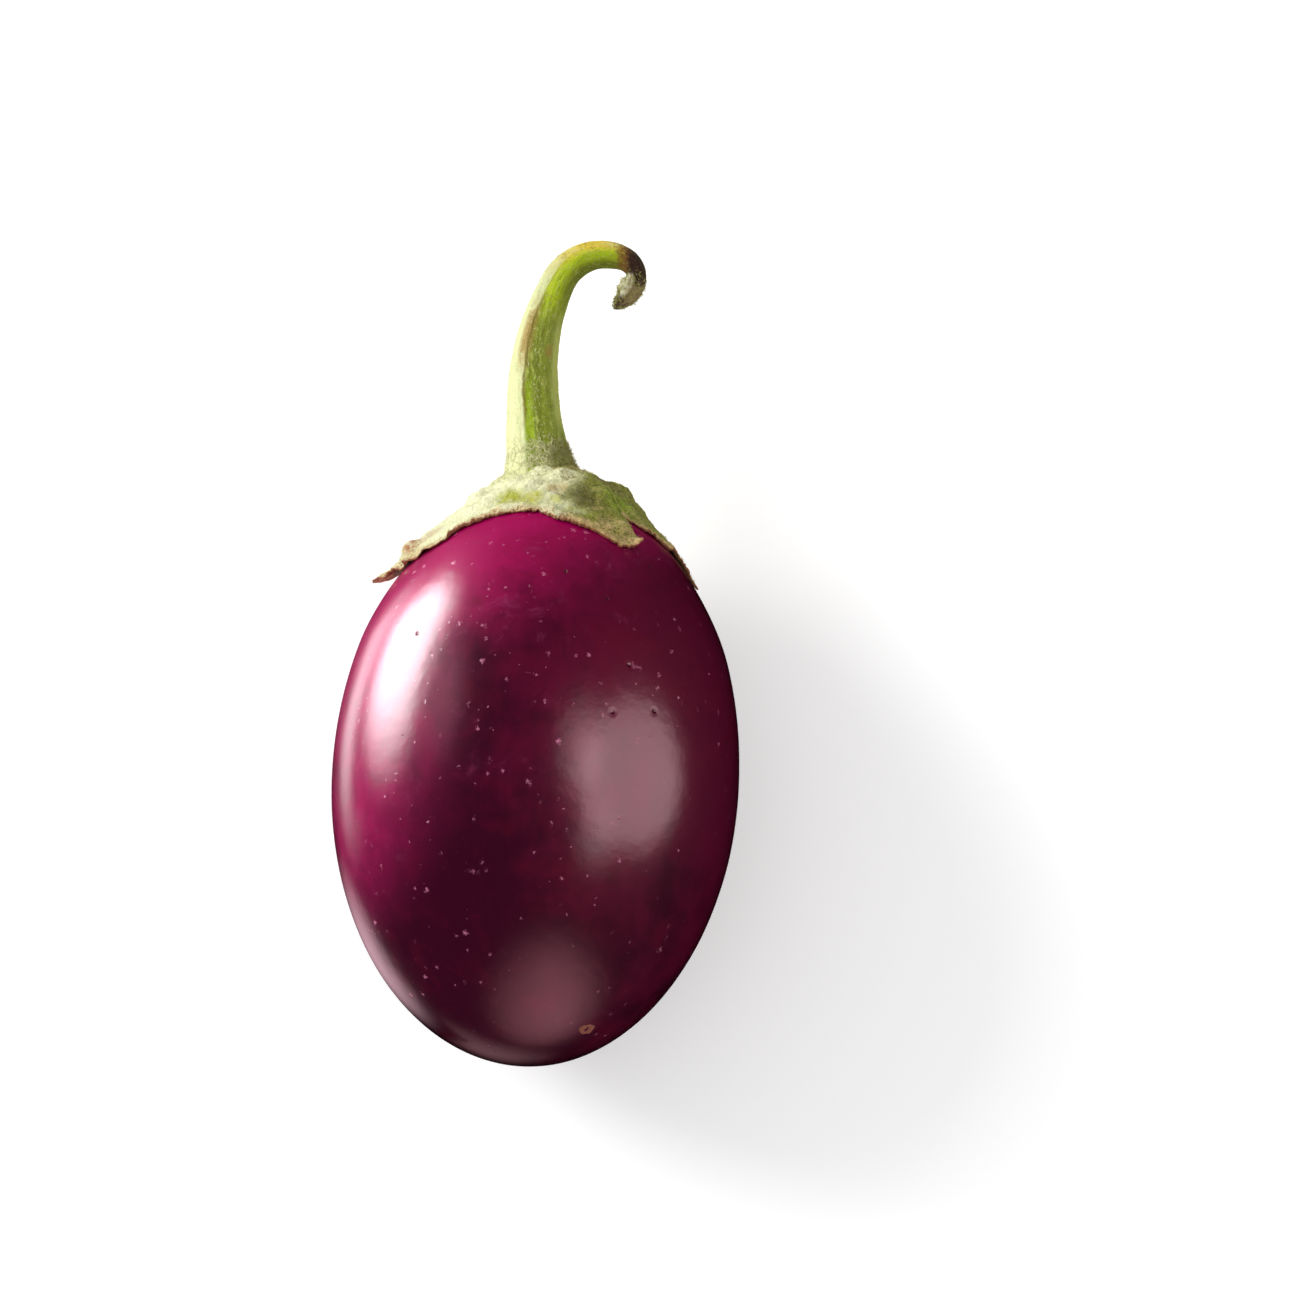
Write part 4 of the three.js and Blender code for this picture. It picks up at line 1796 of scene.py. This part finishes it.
    def build(self) -> list[bpy.types.Object]:
        """Makes the stem.

        Returns:
            The one piece.
        """
        path = self.path()
        values = {
            "Path": path,
            "Sides": self.sides,
            "Rows": self.rows,
            "Ribs": float(self.ribs),
            "Rib depth": self.rib_depth,
            "Rib peak": self.rib_peak,
            "Groove at": self.groove_at,
            "Groove depth": self.groove_depth,
            "Groove width": self.groove_width,
            "Length": sum(arc.run for arc in self.arcs) + self.sunk,
            "Sunk": self.sunk,
        }
        stalk = harden("stem_stalk", carrier("stem"), self.shape(self.finish.material()), values)
        bpy.data.objects.remove(path)
        return [settle(stalk, Slot.STEM, Node.STEM)]


@dataclass
class Felt:
    """Starry hairs that stand on a piece wherever its felt number says."""

    name: str
    ground: bpy.types.Object
    slot: Slot
    finish: FeltFinish
    density: float
    length: float = 0.55
    thickness: float = 0.045
    rays: int = 3
    tilt: float = 48.0
    tilt_step: float = 9.0
    twist_step: float = 0.4
    growth: Span = (0.5, 1.15)
    seed: int = 7

    def shape(self, material: bpy.types.Material) -> ShapeWriter:
        """Writes the tree that scatters the hairs.

        Args:
            material: The hairs' material.

        Returns:
            The tree.
        """
        w = ShapeWriter(self.name)
        density, length, thickness = w.number("Density"), w.number("Length"), w.number("Thickness")
        seed = w.count("Seed")
        named = w.add("GeometryNodeInputNamedAttribute", {"Name": "felt"}, data_type="FLOAT")
        felt = w.field(named.outputs["Attribute"])
        surface = w.entry.outputs["Geometry"]
        inputs = {"Mesh": surface, "Density": felt * density, "Seed": seed}
        points = w.add("GeometryNodeDistributePointsOnFaces", inputs, distribute_method="RANDOM")
        spike = {"Vertices": 3, "Side Segments": 1, "Radius Top": 0.0}
        spike |= {"Radius Bottom": thickness, "Depth": length}
        cone = w.add("GeometryNodeMeshCone", spike, fill_type="NONE").outputs["Mesh"]
        join = w.add("GeometryNodeJoinGeometry")
        for ray in range(self.rays):
            lean = math.radians(self.tilt + self.tilt_step * ray)
            turn = 2 * math.pi * ray / self.rays + self.twist_step * ray
            leaning = {"Geometry": cone, "Rotation": Euler((lean, 0.0, turn))}
            w.tree.links.new(w.add("GeometryNodeTransform", leaning).outputs[0], join.inputs[0])
        spin = w.add("FunctionNodeRandomValue", data_type="FLOAT_VECTOR")
        spin.inputs[0].default_value = (-0.5, -0.5, 0.0)
        spin.inputs[1].default_value = (0.5, 0.5, 2 * math.pi)
        feed(w.tree, spin.inputs["Seed"], seed)
        turn = w.add("FunctionNodeEulerToRotation", {0: spin.outputs[0]}).outputs[0]
        spun = {0: points.outputs["Rotation"], 1: turn}
        rotation = w.add("FunctionNodeRotateRotation", spun, rotation_space="LOCAL")
        growth = w.add("FunctionNodeRandomValue", data_type="FLOAT")
        growth.inputs[2].default_value, growth.inputs[3].default_value = self.growth
        feed(w.tree, growth.inputs["Seed"], seed)
        inputs = {
            "Points": points.outputs["Points"], "Instance": join.outputs[0],
            "Rotation": rotation.outputs[0], "Scale": w.field(growth.outputs[1]) * (felt * 0.7 + 0.6),
        }
        hairs = w.add("GeometryNodeInstanceOnPoints", inputs).outputs[0]
        w.finish(hairs, material)
        return w

    def build(self) -> list[bpy.types.Object]:
        """Makes the hairs.

        Returns:
            The one piece.
        """
        values = {
            "Density": self.density / MM**2,
            "Length": self.length * MM,
            "Thickness": self.thickness * MM,
            "Seed": self.seed,
        }
        base = carrier(self.name, self.ground.data.copy())
        hairs = harden(self.name, base, self.shape(self.finish.material()), values)
        hairs.data.materials.clear()
        hairs.data.materials.append(bpy.data.materials[self.finish.name])
        return [settle(hairs, self.slot)]


# ---------------------------------------------------------------------------------------------------
# Studio. Cards aim at the fruit's crown or at its blossom end, in millimetres.


CROWN = (12, 2, 52)
BLOSSOM_END = (6, -10, 30)
LAMP_TINT = (255, 216, 222)
ROOM_TINT = (255, 170, 184)


class Shines(Enum):
    """What a light reaches."""

    GLOSS = "gloss"
    MATT = "matt"


@dataclass(frozen=True)
class Card:
    """A flat light: where it stands, what it faces, its size in millimetres, how bright its face is,
    whether it shows in gloss or lights the colours, its own colour, and how much of it fades out."""

    name: str
    at: Triple
    facing: Triple
    width: float
    height: float
    brightness: float
    shines: Shines
    colour: Triple = (255, 255, 255)
    soft: float = 0.0

    def build(self) -> bpy.types.Object:
        """Puts the light in the scene."""
        light = bpy.data.lights.new(self.name, "AREA")
        light.shape = "RECTANGLE"
        light.size = self.width * MM
        light.size_y = self.height * MM
        light.energy = self.brightness * math.pi * light.size * light.size_y
        light.color = srgb(*self.colour)[:3]
        if self.soft:
            self.fade(light)
        lamp = bpy.data.objects.new(self.name, light)
        lamp.location = Vector(self.at) * MM
        aim = Vector(self.facing) - Vector(self.at)
        lamp.rotation_euler = aim.to_track_quat("-Z", "Y").to_euler()
        lamp.visible_glossy = self.shines is Shines.GLOSS
        lamp.visible_diffuse = self.shines is Shines.MATT
        lamp.visible_camera = False
        bpy.context.scene.collection.objects.link(lamp)
        return lamp

    def fade(self, light: bpy.types.AreaLight) -> None:
        """Fades the light's face out towards a round edge.

        Args:
            light: The light.
        """
        light.use_nodes = True
        w = TreeWriter(light.node_tree)
        face = w.add("ShaderNodeNewGeometry").outputs["Parametric"]
        away = w.field(w.vector_math("DISTANCE", face, (0.5, 0.5, 0.0), out="Value"))
        shine = 1 - away.smooth(0.5 * (1 - self.soft), 0.5)
        feed(w.tree, w.tree.nodes["Emission"].inputs["Strength"], shine)


@dataclass
class Studio:
    """The pale floor, the lights and the camera."""

    egg: Egg
    elevation: float = 80.0
    roll: float = 3.3
    distance: float = 700.0
    view_width: float = 178.9
    aside: float = 15.85
    above: float = 17.89
    sensor: float = 36.0
    clip: Span = (0.01, 50.0)
    floor_size: float = 6000.0
    ambient: float = 0.72
    cards: tuple[Card, ...] = (
        Card("window", (-92, 62, 44), (0, 62, 44), 142, 102, 24.0, Shines.GLOSS, soft=0.7),
        Card("window_low", (-92, 43, -12), (0, 43, -12), 148, 112, 3.9, Shines.GLOSS, soft=0.8),
        Card("window_haze", (-92, 48, 112), (0, 48, 112), 96, 84, 2.8, Shines.GLOSS, (255, 168, 200), 0.9),
        Card("window_top", (-92, 104, 34), (0, 104, 34), 70, 70, 8.0, Shines.GLOSS, soft=0.9),
        Card("paper_glow", (-40, -36, 1), (-40, -36, 100), 44, 54, 1.7, Shines.GLOSS, (255, 206, 220), 0.8),
        Card("front_glow", (-14, -66, 1), (-14, -66, 100), 60, 46, 0.6, Shines.GLOSS, (255, 190, 200), 0.8),
        Card("lamp_card", (254, 15, 222), CROWN, 250, 440, 6.0, Shines.GLOSS, LAMP_TINT, 0.34),
        Card("lamp_wing", (134, 51, 322), CROWN, 190, 190, 4.6, Shines.GLOSS, LAMP_TINT, 0.8),
        Card("lamp_side", (190, -80, 290), CROWN, 140, 180, 3.4, Shines.GLOSS, LAMP_TINT, 0.8),
        Card("room_card", (70, -340, 60), BLOSSOM_END, 470, 640, 2.5, Shines.GLOSS, ROOM_TINT, 0.8),
        Card("room_core", (104, -335, 90), BLOSSOM_END, 230, 440, 0.8, Shines.GLOSS, ROOM_TINT, 0.7),
        Card("softbox", (-640, 260, 500), (0, 0, 20), 320, 320, 13.5, Shines.MATT),
    )

    def camera(self) -> bpy.types.Object:
        """Sets the camera up, looking down on the lying fruit."""
        pitch, roll = math.radians(self.elevation), math.radians(self.roll)
        level = Vector((1, 0, 0))
        climb = Vector((0, math.sin(pitch), math.cos(pitch)))
        back = Vector((0, -math.cos(pitch), math.sin(pitch)))
        right = level * math.cos(roll) + climb * math.sin(roll)
        up = climb * math.cos(roll) - level * math.sin(roll)
        centre = Vector((0, 0, self.egg.axis_height()))
        target = centre + right * self.aside + up * self.above
        data = bpy.data.cameras.new("camera")
        data.sensor_width = self.sensor
        data.lens = self.sensor * self.distance / self.view_width
        data.clip_start, data.clip_end = self.clip
        camera = bpy.data.objects.new("camera", data)
        turn = Matrix((right, up, back)).transposed().to_4x4()
        camera.matrix_world = Matrix.Translation((target + back * self.distance) * MM) @ turn
        bpy.context.scene.collection.objects.link(camera)
        bpy.context.scene.camera = camera
        return camera

    def floor(self) -> bpy.types.Object:
        """Lays the pale floor."""
        half = self.floor_size / 2 * MM
        mesh = bpy.data.meshes.new("floor")
        corners = [(-half, -half, 0), (half, -half, 0), (half, half, 0), (-half, half, 0)]
        mesh.from_pydata(corners, [], [(0, 1, 2, 3)])
        mesh.materials.append(PaperFinish().material())
        floor = place("floor", mesh)
        floor.visible_glossy = False
        return floor

    def lights(self) -> None:
        """Stands the light cards round the fruit and sets the soft surround."""
        for card in self.cards:
            card.build()
        world = bpy.data.worlds.new("surround")
        world.use_nodes = True
        surround = world.node_tree.nodes["Background"]
        surround.inputs["Color"].default_value = (1, 1, 1, 1)
        surround.inputs["Strength"].default_value = self.ambient
        world.cycles_visibility.glossy = False
        bpy.context.scene.world = world
        bpy.context.scene.view_settings.view_transform = "Standard"

    def build(self) -> None:
        """Builds the whole studio."""
        self.floor()
        self.lights()
        self.camera()


def report(label: str, make: Callable[[], list[bpy.types.Object]]) -> list[bpy.types.Object]:
    """Builds a sub-assembly and reports it.

    Args:
        label: What it is.
        make: The method that makes its pieces.

    Returns:
        The pieces.
    """
    pieces = make()
    LOG.info("%s: %s", label, ", ".join(piece.name for piece in pieces))
    return pieces


def main() -> None:
    """Builds the eggplant and its studio."""
    logging.basicConfig(level=logging.INFO, format="%(name)s: %(message)s")
    egg = Egg()
    Studio(egg).build()
    report("fruit", Fruit(egg, SkinFinish()).build)
    cap = report("calyx", Calyx(egg, CalyxFinish()).build)[0]
    stalk = report("stem", Stem(egg, StemFinish()).build)[0]
    # Each felt's third colour is painted shade on its right side.
    hairs = FeltFinish("calyx_hairs", (214, 212, 142), (238, 236, 190), (158, 146, 66))
    report("calyx felt", Felt("calyx_felt", cap, Slot.CALYX, hairs, density=4.6, length=0.55).build)
    fluff = FeltFinish("stem_hairs", (214, 212, 156), (240, 238, 196), (150, 146, 56))
    report("stem felt", Felt("stem_felt", stalk, Slot.STEM, fluff, density=7.0, length=0.55, seed=11).build)


if __name__ == "__main__":
    main()
